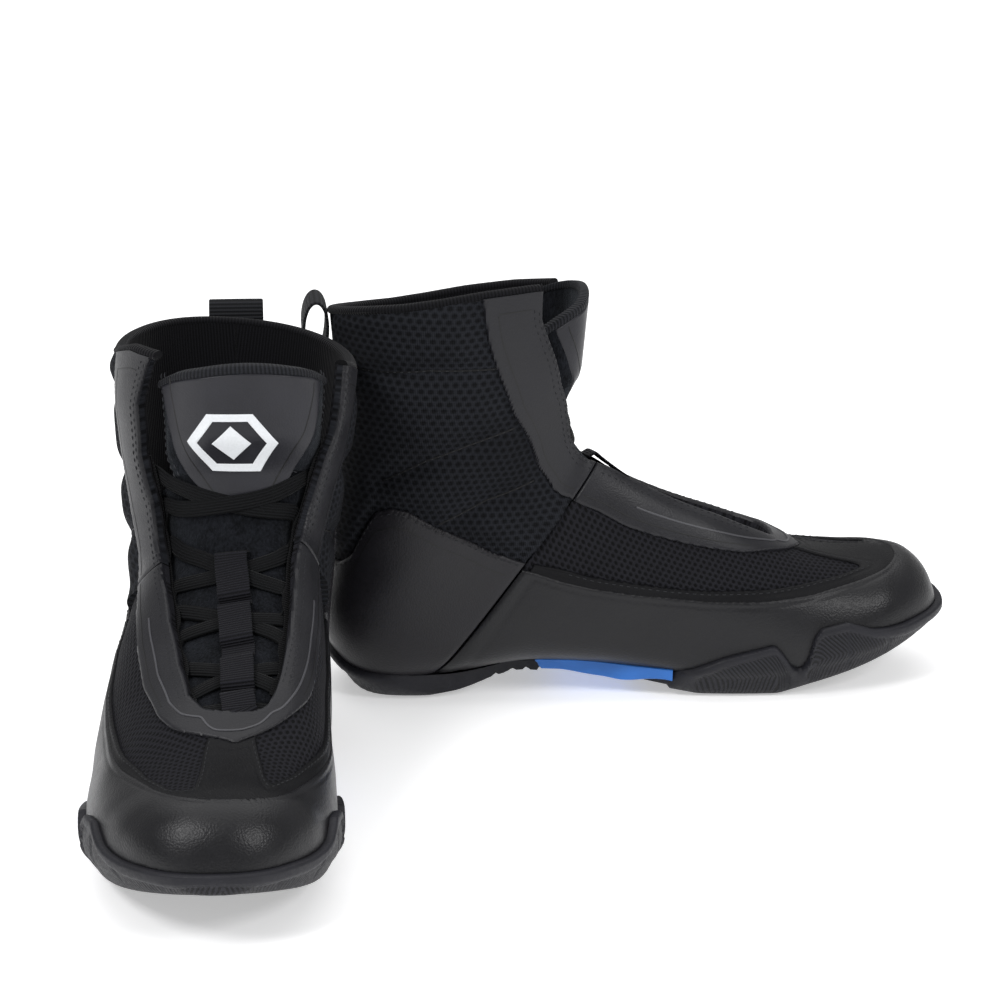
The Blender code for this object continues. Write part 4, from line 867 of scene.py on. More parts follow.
def stitches(lines, length=2.3, gap=1.1, thick=0.5, lift=0.0):
    """Rows of thread lying along lines of (points, normals): short capsules, slightly sunk at their ends."""
    all_points, all_tris, count = [], [], 0
    ring = 6
    angles = np.arange(ring) * 2 * math.pi / ring
    for q, n in lines:
        run = np.concatenate([[0], np.cumsum(np.linalg.norm(np.diff(q, axis=0), axis=1))])
        pitch = length + gap
        for k in range(int(run[-1] / pitch)):
            u = np.linspace(k * pitch + gap / 2, k * pitch + gap / 2 + length, 5)
            c = np.stack([np.interp(u, run, q[:, i]) for i in range(3)], 1)
            m = np.stack([np.interp(u, run, n[:, i]) for i in range(3)], 1)
            along = c[-1] - c[0]
            along /= np.linalg.norm(along)
            side = np.cross(m[2], along)
            side /= np.linalg.norm(side)
            up = np.cross(along, side)
            radius = thick / 2 * np.array([0.35, 0.9, 1.0, 0.9, 0.35])
            sink = np.array([-0.22, 0.02, 0.08, 0.02, -0.22]) + lift
            rings = c[:, None] + up * sink[:, None, None] + radius[:, None, None] * (side * np.cos(angles)[None, :, None] + up * np.sin(angles)[None, :, None])
            all_points.append(rings.reshape(-1, 3))
            i = np.arange(4)[:, None]
            j = np.arange(ring)[None]
            a, b = i * ring + j, i * ring + (j + 1) % ring
            quads = np.stack([a, b, b + ring, a + ring], -1).reshape(-1, 4)
            tris = np.concatenate([quads[:, [0, 2, 1]], quads[:, [0, 3, 2]],
                                   np.stack([np.zeros(ring - 2, int), np.arange(1, ring - 1), np.arange(2, ring)], 1),
                                   np.stack([np.full(ring - 2, 4 * ring), 4 * ring + np.arange(2, ring), 4 * ring + np.arange(1, ring - 1)], 1)])
            all_tris.append(tris + count)
            count += 5 * ring
    points, tris = np.concatenate(all_points), np.concatenate(all_tris)
    p = points[tris]
    if np.einsum("ij,ij->i", p[:, 0] - points.mean(0), np.cross(p[:, 1] - points.mean(0), p[:, 2] - points.mean(0))).sum() < 0:
        tris = tris[:, ::-1]
    return points, tris


def trace(function, keep=None, step=1.0, shortest=10.0, level=0.0):
    """Lines on the loft where function is level and keep is positive, as (points, normals) evenly spaced."""
    v = function(ROWS) - level
    v = np.where(v == 0, 1e-9, v)
    f = v[TRIS]
    m = TRIS[(f > 0).any(1) & (f < 0).any(1)]
    codes, found = {}, []
    for tri in m:
        ends = []
        for r in range(3):
            a, b = int(tri[r]), int(tri[(r + 1) % 3])
            if v[a] * v[b] < 0:
                key = (a, b) if a < b else (b, a)
                if key not in codes:
                    codes[key] = len(found)
                    w = v[a] / (v[a] - v[b])
                    row = ROWS[a] + (ROWS[b] - ROWS[a]) * w
                    if abs(ROWS[a][1] - ROWS[b][1]) > 1:
                        row[1] = ROWS[a][1]
                    found.append(row)
                ends.append(codes[key])
        codes.setdefault("links", []).append(ends)
    if not found:
        return []
    found = np.array(found)
    good = np.ones(len(found), bool) if keep is None else keep(found) > 0
    next_to = [[] for _ in found]
    for a, b in codes["links"]:
        if good[a] and good[b]:
            next_to[a].append(b)
            next_to[b].append(a)
    seen, lines = np.zeros(len(found), bool), []
    starts = [n for n in range(len(found)) if good[n] and len(next_to[n]) == 1] + [n for n in range(len(found)) if good[n]]
    for start in starts:
        if seen[start]:
            continue
        chain, at = [start], start
        seen[start] = True
        while True:
            options = [n for n in next_to[at] if not seen[n]]
            if not options:
                break
            at = options[0]
            seen[at] = True
            chain.append(at)
        rows = found[chain]
        q, n = rows[:, 2:5].copy(), rows[:, 5:8].copy()
        for _ in range(6):
            q[1:-1] = (q[:-2] + 2 * q[1:-1] + q[2:]) / 4
        run = np.concatenate([[0], np.cumsum(np.linalg.norm(np.diff(q, axis=0), axis=1))])
        if run[-1] < shortest:
            continue
        u = np.linspace(0, run[-1], max(int(run[-1] / step), 4))
        q = np.stack([np.interp(u, run, q[:, c]) for c in range(3)], 1)
        n = np.stack([np.interp(u, run, n[:, c]) for c in range(3)], 1)
        lines.append((q, n / np.linalg.norm(n, axis=1, keepdims=True)))
    return lines


def relief_at(q):
    return relief(np.concatenate([np.zeros((len(q), 2)), q], 1))


def raised(lines, level):
    """The lines moved out to a layer's face."""
    return [(q + n * (level + relief_at(q))[:, None], n) for q, n in lines]


def below(lines, side, drop=3.0):
    """The parts of lines that lie this far under the collar."""
    out = []
    for q, n in lines:
        r = np.zeros((len(q), 10))
        r[:, 2:5] = q
        k = r_collar(side, drop)(r) > 0
        if k.sum() > 8:
            out.append((q[k], n[k]))
    return out


def uvs_of(rows):
    return {"foot": rows[:, [2, 8]], "shaft": np.stack([rows[:, 9], rows[:, 4]], 1)}


SIDES = ("left", "right")


def both(name, patch, inner, outer, material, sides=SIDES, **more):
    points, tris, rows = patch.shell(inner, outer)
    return [make(side, name, points, tris, material, uvs=uvs_of(rows), **more) for side in sides]


def sewn(name, lines, material="stitch", sides=SIDES, **more):
    if lines:
        points, tris = stitches(lines)
        return [make(side, name, points, tris, material, **more) for side in sides]


TOP_FACE = 1.5
SPLIT = 12.1


def eyestay_lines(f_list, sign):
    throat, stay = (THROAT_LATERAL, EYESTAY_LATERAL) if sign > 0 else (THROAT_MEDIAL, EYESTAY_MEDIAL)
    return [(s, between(throat, s) + f * (between(stay, s) - between(throat, s))) for s, f in f_list]


SHAFT_LINE = [(20.1, 0.84), (19.0, 0.87), (17.3, 0.86), (15.8, 0.82), (14.6, 0.62), (13.7, 0.52), (12.9, 0.58)]
THROAT_LINE = [(11.9, 0.76), (10.5, 0.78), (9.4, 0.74), (8.1, 0.62), (7.5, 0.52), (7.0, 0.45)]
RIDGE_LINE = [(11.6, 0.50), (10.5, 0.48), (9.4, 0.44), (8.3, 0.36)]
QUILTS = [[(18.8, .80), (18.7, .6), (18.3, .425)], [(16.1, .36), (16.3, .49), (16.4, .61), (16.3, .735)], [(13.8, .255), (14.4, .4), (14.7, .545)]]


def edge_path(table, sign, d, low, high, count=60):
    s = np.linspace(low, high, count)
    return [(a, between(table, a) + sign * d / float(half_length(a, sign > 0))) for a in s]


# ------------------------------------------------------------- upper, forefoot
def clear_of_sole(r):
    return np.where(r[:, 0] < 15, r[:, 4] - np.minimum(board_edge(r[:, 2]) + 1.3, between(SOLE_TOP, r[:, 2]) - 1.2), 5.0)


def inlaid(name, lines, level, material, width, sides=SIDES, lift=0.06, body=None):
    """Debossed or raised lines along a layer's face, as narrow bands let into it. A debossed line, like a quilting
    crease, is a flush near-black band: painted shade, not a groove.
    """
    for n, (q, normal) in enumerate(lines):
        points, tris, uv = strip(q + normal * (level + relief_at(q) - 0.5 + lift)[:, None], normal, width, 0.5, bulge=0.1)
        for side in sides:
            make(side, f"{name}_{n}", points, tris, material, uvs={"strip": uv}, body=body)


def parting(f):
    """Zero along the line that lies this fraction of the way from the throat's edge to the overlay's outer edge."""
    return lambda r: in_eyestay(r) - (1 - f) / f * out_of_throat(r)


def build_forefoot():
    net = Patch().cut(lambda r: (SPLIT - r[:, 0]) * 10 - 0.25).cut(above_board, False).cut(out_of_throat)
    both("vamp_mesh", net, -3.0, relief(net.rows) + rounding(net.border(), 0.8, 0.6), "vamp", nodes=["vamp_mesh"])

    panel = Patch().cut(lambda r: (11.9 - r[:, 0]) * 10, False).cut(lambda r: -rand_line(r) + 1.5, False)
    panel.cut(lambda r: -in_eyestay(r)).cut(lambda r: -in_window(r))
    rows = panel.rows
    d = panel.border()
    top = TOP_FACE - 0.25 + relief(rows) + rounding(d, 0.9, 0.7)
    top += -0.28 * np.exp(-((d - 2.6) / 0.55) ** 2)
    both("toe_panel", panel, -0.4, top, "panel", nodes=["toe_panel"])

    rand = Patch().cut(lambda r: (SPLIT - r[:, 0]) * 10 - 0.25).cut(clear_of_sole, False).cut(rand_line)
    rows = rand.rows
    d = rand.border()
    top = TOP_FACE + 0.25 + relief(rows) + rounding(d, 1.0, 0.8) - 0.3 * np.exp(-((d - 3.0) / 0.55) ** 2)
    both("toe_rand", rand, -0.4, top, "rand", nodes=["toe_rand"])

    throat = Patch().cut(lambda r: (SPLIT - r[:, 0]) * 10 - 0.25).cut(in_eyestay).cut(out_of_throat)
    rows = throat.rows
    d = throat.border()
    top = TOP_FACE + 0.1 + relief(rows) + rounding(d, 0.9, 0.8)
    both("throat_overlay", throat, -0.4, top, "eyestay", nodes=["throat_overlay"])
    rows_of = []
    for table, sign in ((THROAT_LATERAL, 1), (THROAT_MEDIAL, -1)):
        for d in (1.7, 4.1):
            rows_of.append(path3d(edge_path(table, sign, d, 7.2, 12.0), 260, TOP_FACE + 0.1))
    rows_of = [(q + n * relief_at(q)[:, None], n) for q, n in rows_of]
    sewn("throat_stitches", rows_of)
    inlaid("throat_ridge", trace(parting(0.56), lambda r: np.minimum(np.minimum(10.2 - r[:, 0], in_eyestay(r)), out_of_throat(r))), TOP_FACE + 0.1, "ridge", 0.9, lift=0.3)
    # the throat line is a flush dark band: painted shade of a debossed line
    inlaid("throat_line", trace(parting(0.80), lambda r: np.minimum(np.minimum(np.minimum(11.95 - r[:, 0], r[:, 0] - 7.2), in_eyestay(r)), out_of_throat(r))), TOP_FACE + 0.1, "pressed_shade", 0.7)
    sewn("window_stitches", raised(trace(in_window, lambda r: np.minimum(np.minimum(-rand_line(r), 11.3 - r[:, 0]), -in_eyestay(r) - 1.5), level=-1.5), TOP_FACE - 0.3), "stitch")


def quilted(sign, rows):
    lines = [path3d([(s, sign * t) for s, t in q])[0] for q in QUILTS]
    return lines


def build_shaft(side):
    sides = (side,)
    collar = r_collar(side, 1.6)
    for sign, name in ((1, "lateral"), (-1, "medial")):
        # padded quarter of spacer knit
        q = Patch().cut(lambda r: (r[:, 0] - SPLIT) * 10 - 0.25).cut(lambda r: np.where(r[:, 0] < 13.7, above_board(r), 5.0), False)
        q.cut(collar, False).cut(lambda r: r[:, 1] * sign * 100, False).cut(lambda r: (0.9935 - np.abs(r[:, 1])) * 130)
        rows = q.rows
        q.cut(out_of_throat)
        rows = q.rows
        lines = quilted(sign, rows)
        d_seam = distance_to(rows, np.concatenate(lines))
        away = np.minimum(-heel_line(rows), -in_eyestay(rows) * 0.9)
        pad = smooth(0.5, 11, np.minimum(away, 60)) * smooth(0, 9, r_collar(side, 0)(rows) + 1.0)
        puff = 2.9 * pad * (1 - np.exp(-(d_seam / 5.5) ** 2)) * (0.55 + 0.45 * smooth(0, 7, (0.9935 - np.abs(rows[:, 1])) * 130))
        near_tab = smooth(17, 25, np.abs(rows[:, 3]) + 100 * (rows[:, 2] > 45)) 
        puff = puff * (1 - (1 - near_tab) * smooth(140, 150, rows[:, 4]) * 0.85)
        top = relief(rows) * 1.3 + puff + rounding((0.9935 - np.abs(rows[:, 1])) * 130, 1.6, 1.1)
        both(f"quarter_{name}", q, -3.0, top, "quarter", sides, nodes=[f"quarter_{name}"])
        seam_lines = []
        for line in QUILTS:
            c, n = path3d([(s, sign * t) for s, t in line], 120, 0.0)
            seam_lines.append((c + n * (relief_at(c) * 1.3 + 0.05)[:, None], n))
        sewn(f"quilt_stitches_{name}", seam_lines, "stitch", sides)

        stay = Patch().cut(lambda r: (r[:, 0] - SPLIT) * 10 - 0.25).cut(in_eyestay).cut(out_of_throat).cut(collar, False)
        stay.cut(lambda r: r[:, 1] * sign * 100, False)
        rows = stay.rows
        d = stay.border()
        top = TOP_FACE + 0.1 + relief(rows) + rounding(d, 0.9, 0.8)
        both(f"eyestay_{name}", stay, -0.4, top, "eyestay", sides, nodes=[f"eyestay_{name}"])
        table = THROAT_LATERAL if sign > 0 else THROAT_MEDIAL
        found = []
        for d in (1.7, 4.1):
            c, n = path3d(edge_path(table, sign, d, 12.1, 20.3), 320, TOP_FACE + 0.1)
            found.append((c + n * relief_at(c)[:, None], n))
        outer_edge = trace(in_eyestay, lambda r: np.minimum(np.minimum(r[:, 0] - 12.3, r_collar(side, 3)(r)), r[:, 1] * sign), level=1.7)
        sewn(f"eyestay_stitches_{name}", below(found, side), "stitch", sides)
        inner_line = trace(parting(0.78), lambda r: np.minimum(np.minimum(np.minimum(r[:, 0] - 12.3, r_collar(side, 9)(r)), r[:, 1] * sign), np.minimum(in_eyestay(r), out_of_throat(r))))
        # these debossed lines are flush dark bands: painted shade
        inlaid(f"eyestay_line_{name}", inner_line, TOP_FACE + 0.1, "pressed_shade", 0.75, sides)
        across = trace(r_collar(side, 9.3), lambda r: np.minimum(np.minimum(in_eyestay(r) * 1.0 - 5.2, out_of_throat(r) - 4.6), r[:, 1] * sign), shortest=4.0)
        inlaid(f"eyestay_top_line_{name}", across, TOP_FACE + 0.1, "pressed_shade", 0.75, sides)
        # a near-black band in each quilting crease: painted shade
        inlaid(f"quilt_{name}", [(c, n) for c, n in (path3d([(a, sign * b) for a, b in line], 120) for line in QUILTS)], 0.12, "quilt_shade", 0.9, sides)

    # lining
    def face(extra):
        def at(patch):
            r = patch.rows
            top = np.interp(r[:, 2], [0, 20, 45, 75], [62, 62, 48, 26])
            sunk = 2.0 * smooth(-30, -12, top - r[:, 4]) * smooth(10.0, 11.4, r[:, 0])
            return -3.2 - sunk - extra
        return at

    lining = Patch().cut(r_collar(side, 1.4), False).cut(lambda r: (r[:, 0] - 7.1) * 12, False)
    lining.cut(lambda r: np.where(r[:, 0] < 13.7, r[:, 4] - board_edge(r[:, 2]) - 3.4, 5.0), False).cut(lambda r: out_of_throat(r, 10.0), False)
    both("lining", lining, face(1.0), face(0.0), "lining", sides, nodes=["lining"])
    # the lining near the throat and the top is the folded-over edge of the padded quarter
    facing = Patch().cut(r_collar(side, 1.4), False).cut(lambda r: (r[:, 0] - 12.3) * 12, False).cut(out_of_throat, False)
    facing.cut(lambda r: 12.5 - out_of_throat(r), False)
    both("facing", facing, -3.9, -2.9, "lining", sides)

    # collar: a rolled knit edge, swept along the top line
    r = r_collar(side, 0.0)
    columns = np.arange(COLS)
    s_at = np.empty(COLS)
    for j in columns:
        rows = np.zeros((len(S), 10))
        rows[:, 2:5] = P[:, j]
        v = r(rows)
        k = np.argmax((v[:-1] > 0) & (v[1:] <= 0) & (S[:-1] > 15))
        s_at[j] = S[k] + (S[k + 1] - S[k]) * v[k] / max(v[k] - v[k + 1], 1e-9) if k else 20.9
    t_low, t_high = between(THROAT_MEDIAL, 20.3), between(THROAT_LATERAL, 20.3)
    t = np.concatenate([np.arange(t_high, 1.0, 0.008), np.arange(1.0, 2.0 + t_low, 0.008)])
    s = np.interp((t + 1) % 2, (T[:-1] + 1), s_at, period=2)
    for _ in range(4):
        s[1:-1] = (s[:-2] + 2 * s[1:-1] + s[2:]) / 4
    q, n = on_surface(s, t)
    q = q - n * 1.6
    # section: rounded hem, 5.2 wide across the wall and 3.4 high
    a = np.linspace(0, 2 * np.pi, 25)[:-1]
    along = np.gradient(q, axis=0)
    along /= np.linalg.norm(along, axis=1, keepdims=True)
    up = np.cross(along, n)
    up /= np.linalg.norm(up, axis=1, keepdims=True)
    up *= np.sign(up[:, 2:3])
    section = q[:, None] + n[:, None] * (2.75 * np.sign(np.cos(a)) * np.abs(np.cos(a)) ** 0.8)[None, :, None] + up[:, None] * (1.9 * np.sin(a) - 1.1)[None, :, None]
    m, k = section.shape[:2]
    i, j = np.arange(m - 1)[:, None], np.arange(k)[None]
    quads = np.stack([i * k + j, i * k + (j + 1) % k, (i + 1) * k + (j + 1) % k, (i + 1) * k + j], -1).reshape(-1, 4)
    tris = np.concatenate([quads[:, [0, 1, 2]], quads[:, [0, 2, 3]], np.stack([np.zeros(k - 2, int), np.arange(2, k), np.arange(1, k - 1)], 1),
                           np.stack([np.zeros(k - 2, int), np.arange(1, k - 1), np.arange(2, k)], 1) + (m - 1) * k])
    points = section.reshape(-1, 3)
    p = points[tris]
    if np.einsum("ij,ij->", p[:, 0] - np.repeat(q, 1, 0).mean(0), np.cross(p[:, 1] - p[:, 0], p[:, 2] - p[:, 0])) < 0:
        tris = tris[:, ::-1]
    run = np.concatenate([[0], np.cumsum(np.linalg.norm(np.diff(q, axis=0), axis=1))])
    uv = np.stack([np.repeat(run, k), np.tile(a * 2.5, m)], 1)
    make(side, "collar_binding", points, tris, "lining", uvs={"shaft": uv, "foot": uv}, nodes=["collar_binding"])


def build_heel():
    heel = Patch().cut(lambda r: (r[:, 0] - SPLIT) * 10 - 0.25).cut(clear_of_sole, False).cut(heel_line)
    rows = heel.rows
    d = heel.border()
    top = TOP_FACE + 0.25 + relief(rows) + rounding(d, 1.0, 0.8)
    both("heel_overlay", heel, -0.4, top, "heel", nodes=["heel_overlay"])
    # the heel's debossed line is a flush dark band: painted shade
    inlaid("heel_line", trace(heel_line, lambda r: r[:, 0] - 12.35, level=8.5), TOP_FACE + 0.25, "pressed_shade", 0.8)
    sewn("heel_stitches", raised(trace(heel_line, lambda r: r[:, 0] - 12.2, level=1.9), TOP_FACE + 0.25), "stitch")


# ----------------------------------------------------------------------- sole
def facing_down(rows):
    return smooth(0.66, 0.96, -rows[:, 7])


def around(rows):
    """Millimetres forward from the middle of the heel, round the sole's edge, the same on both sides."""
    x, y = rows[:, 2], rows[:, 3] + 2
    toe = 235 + 50 * (np.pi / 2 - np.abs(np.arctan2(y, np.maximum(x - 235, 0.0) + 1e-6)))
    heel = 45 - 43 * (np.pi / 2 - np.abs(np.arctan2(y, np.maximum(45 - x, 0.0) + 1e-6)))
    return np.where(x > 235, toe, np.where(x < 45, heel, x))


def build_sole():
    def inner(patch):
        rows = patch.rows
        w = facing_down(rows)[:, None]
        drop = np.zeros((len(rows), 3))
        drop[:, 2] = -2.9
        return rows[:, 2:5] + rows[:, 5:8] * 1.6 * (1 - w) + drop * w

    def face(rows, recess, detail):
        w = facing_down(rows)[:, None]
        to_ground = np.zeros((len(rows), 3))
        to_ground[:, 2] = between(GROUND, rows[:, 2]) + recess - rows[:, 4]
        return rows[:, 2:5] + rows[:, 5:8] * (4.3 - recess + detail)[:, None] * (1 - w) + to_ground * w

    cup = Patch().cut(lambda r: np.where(r[:, 0] < 15.5, sole_line(r), -5.0))
    rows = cup.rows
    s, x, z = rows[:, 0], rows[:, 2], rows[:, 4]
    d = np.maximum(sole_line(rows), 0)
    h = around(rows)
    recess = np.where((s > 8.7) & (s < 10.72), 1.5, 0.0)
    side_wall = 1 - facing_down(rows)
    rim = 0.55 * smooth(0, 0.8, d) * (1 - smooth(2.6, 3.6, d))
    # fine ribs: chevrons that point to the toe round the forefoot, and back round the heel
    middle = between(SOLE_TOP, x) * 0.5 + between(GROUND, x) * 0.5
    front = smooth(160, 166, x)
    back = 1 - smooth(80, 86, x)
    ribbed = (front + back) * smooth(3.4, 4.2, d)
    ribs = -0.55 * ribbed
    blocks = np.zeros(len(rows))
    for at in (210, 238, 262, 290):
        blocks = np.maximum(blocks, np.exp(-((h - at) / 1.0) ** 2))
    ribs -= 0.7 * blocks * smooth(3.6, 4.6, d) * front
    rib_uv = np.stack([h + np.where(x > 120, 1, -1) * 0.95 * np.abs(z - middle - 1.0), z], 1)
    # rib_mask marks the ribbed band where the rubber's grooves are painted dark (painted shade) and its rib tops light
    # (painted highlight)
    rib_mask = np.stack([ribbed * (1 - blocks), z * 0], 1)
    waist = (1 - front) * (1 - back)
    ribs += waist * -0.25 * smooth(4.0, 5.0, d)
    detail = (rim + ribs) * side_wall + rounding(d, 0.9, 0.8)
    top = face(rows, recess, np.where(recess > 0, 0.0, detail))
    # tread: zigzag bars pressed up into the underside
    w = facing_down(rows)
    zig = (x + 5.0 * np.abs(((rows[:, 3] + 100) / 16) % 2 - 1)) / 7.0
    tread = np.where(recess > 0, 0.0, 1.3 * smooth(0.35, 0.75, np.sin(2 * np.pi * zig)))
    ring = smooth(0.93, 0.97, -rows[:, 7])
    top[:, 2] += tread * w * ring
    points, tris, all_rows = cup.shell(inner, lambda patch: top)
    n = len(rows)
    uvs = {"ribs": np.concatenate([rib_uv, rib_uv]), "mask": np.concatenate([rib_mask, rib_mask * 0])}
    for side in SIDES:
        make(side, "outsole", points, tris, "rubber", uvs=uvs, nodes=["outsole"], sharp=60)

    # arch insert: a plate across the waist, its upright edges flush with the wall above
    stations = np.linspace(96.0, 158.0, 63)
    sections = []
    for x in stations:
        level = between(SOLE_TOP, x)
        y = []
        for sign in (-1, 1):
            near = (ROWS[:, 0] < 15.5) & (np.abs(ROWS[:, 2] - x) < 1.6) & (np.abs(ROWS[:, 4] - level - 1.2) < 1.2) & (ROWS[:, 3] * sign > 5)
            y.append(sign * (np.abs(ROWS[near, 3]).mean() + 1.9) if near.any() else np.nan)
        sections.append((x, y[0], y[1], level))
    sections = np.array(sections)
    for c in (1, 2):
        good = ~np.isnan(sections[:, c])
        sections[:, c] = np.interp(sections[:, 0], sections[good, 0], sections[good, c])
        k = np.hanning(11)
        sections[:, c] = np.convolve(np.pad(sections[:, c], 5, "edge"), k / k.sum(), "valid")
    shape = []
    for x, m, l, level in sections:
        low = between(GROUND, x) - 0.2 + 2.4 * (1 - smooth(96, 125, x)) + 4.0 * (1 - smooth(96, 99, x)) + 6.0 * smooth(132, 158, x)
        low = min(low, level - 0.8)
        shape.append([(x, m + 1.5, level - 0.1), (x, m + 0.5, level - 0.15), (x, m, level - 0.6), (x, m + 0.4, (level + low) / 2), (x, m + 0.9, low + 0.5), (x, m + 1.7, low),
                      (x, (m * 2 + l) / 3, low), (x, (m + 2 * l) / 3, low), (x, l - 1.7, low), (x, l - 0.9, low + 0.5), (x, l - 0.4, (level + low) / 2), (x, l, level - 0.6), (x, l - 0.5, level - 0.15), (x, l - 1.5, level - 0.1)])
    shape = np.array(shape)
    m, k = shape.shape[:2]
    i, j = np.arange(m - 1)[:, None], np.arange(k)[None]
    quads = np.stack([i * k + j, i * k + (j + 1) % k, (i + 1) * k + (j + 1) % k, (i + 1) * k + j], -1).reshape(-1, 4)
    tris = np.concatenate([quads[:, [0, 1, 2]], quads[:, [0, 2, 3]], np.stack([np.zeros(k - 2, int), np.arange(2, k), np.arange(1, k - 1)], 1),
                           np.stack([np.zeros(k - 2, int), np.arange(1, k - 1), np.arange(2, k)], 1) + (m - 1) * k])
    points = shape.reshape(-1, 3)
    v = points[tris] - points.mean(0)
    if np.einsum("ij,ij->", v[:, 0], np.cross(v[:, 1], v[:, 2])) < 0:
        tris = tris[:, ::-1]
    for side in SIDES:
        make(side, "arch_shank", points, tris, "blue", nodes=["arch_shank"], sharp=35)


# --------------------------------------------------------------------- inside
def build_inside():
    sock = Patch().cut(lambda r: np.where(r[:, 0] < 13.7, board_edge(r[:, 2]) - 0.6 - r[:, 4], -5.0), False)
    sock.cut(lambda r: (13.3 - r[:, 0]) * 12, False).cut(lambda r: (r[:, 0] - 2.4) * 12)
    both("sockliner", sock, -4.7, -2.1 + rounding(sock.border(), 1.0, 0.8), "sock", nodes=["sockliner"])
    for side in SIDES:
        for n, m in (("midsole", "foam"), ("lasting_board", "sock"), ("heel_counter", "foam"), ("toe_puff", "foam")):
            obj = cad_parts[f"{side}_{n}"]
            obj.data.materials.clear()
            obj.data.materials.append(MATERIALS[m])


# --------------------------------------------------------------------- tongue
def tongue_top(t):
    return 188.0 - 160.0 * (np.abs(t + 0.02) ** 2)


def flap_lift(s, t):
    middle = 1 - smooth(0.10, 0.26, np.abs(t + 0.02))
    return 6.4 * middle * smooth(FLAP_HINGE + 0.2, FLAP_HINGE + 2.2, s)


def throat_middle(s):
    return (between(THROAT_MEDIAL, s) + between(THROAT_LATERAL, s)) / 2


def finer(s_low, s_high, t_low, t_high, step=0.45):
    """A fine piece of the loft for small shapes: rows and triangles."""
    n_s = int(np.interp(s_high, _s, _run) - np.interp(s_low, _s, _run)) / step
    s = np.linspace(s_low, s_high, int(n_s) + 1)
    t = np.linspace(t_low, t_high, int((t_high - t_low) * 150 / step) + 1)
    ss, tt = np.meshgrid(s, t, indexing="ij")
    q, n = on_surface(ss.ravel(), tt.ravel())
    rows = np.zeros((len(q), 10))
    rows[:, 0], rows[:, 1], rows[:, 2:5], rows[:, 5:8] = ss.ravel(), tt.ravel(), q, n
    rows[:, 8] = rows[:, 9] = tt.ravel() * 150
    k = len(t)
    i, j = np.arange(len(s) - 1)[:, None], np.arange(k - 1)[None]
    a = i * k + j
    tris = np.concatenate([np.stack([a, a + k, a + k + 1], -1).reshape(-1, 3), np.stack([a, a + k + 1, a + 1], -1).reshape(-1, 3)])
    normal = np.cross(q[tris[:, 1]] - q[tris[:, 0]], q[tris[:, 2]] - q[tris[:, 0]])
    if (normal * n[tris[:, 0]]).sum() < 0:
        tris = tris[:, ::-1]
    return rows, tris


def bending(side, obj):
    """The shield's foot lies on the lower tongue, below the fold. Its placement is baked into its points; the hinge
    point is found but not used.
    """
    hinge = np.array(placed(side, on_surface(np.array([FLAP_HINGE]), np.array([-0.02]))[0]))[0]
    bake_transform(obj)


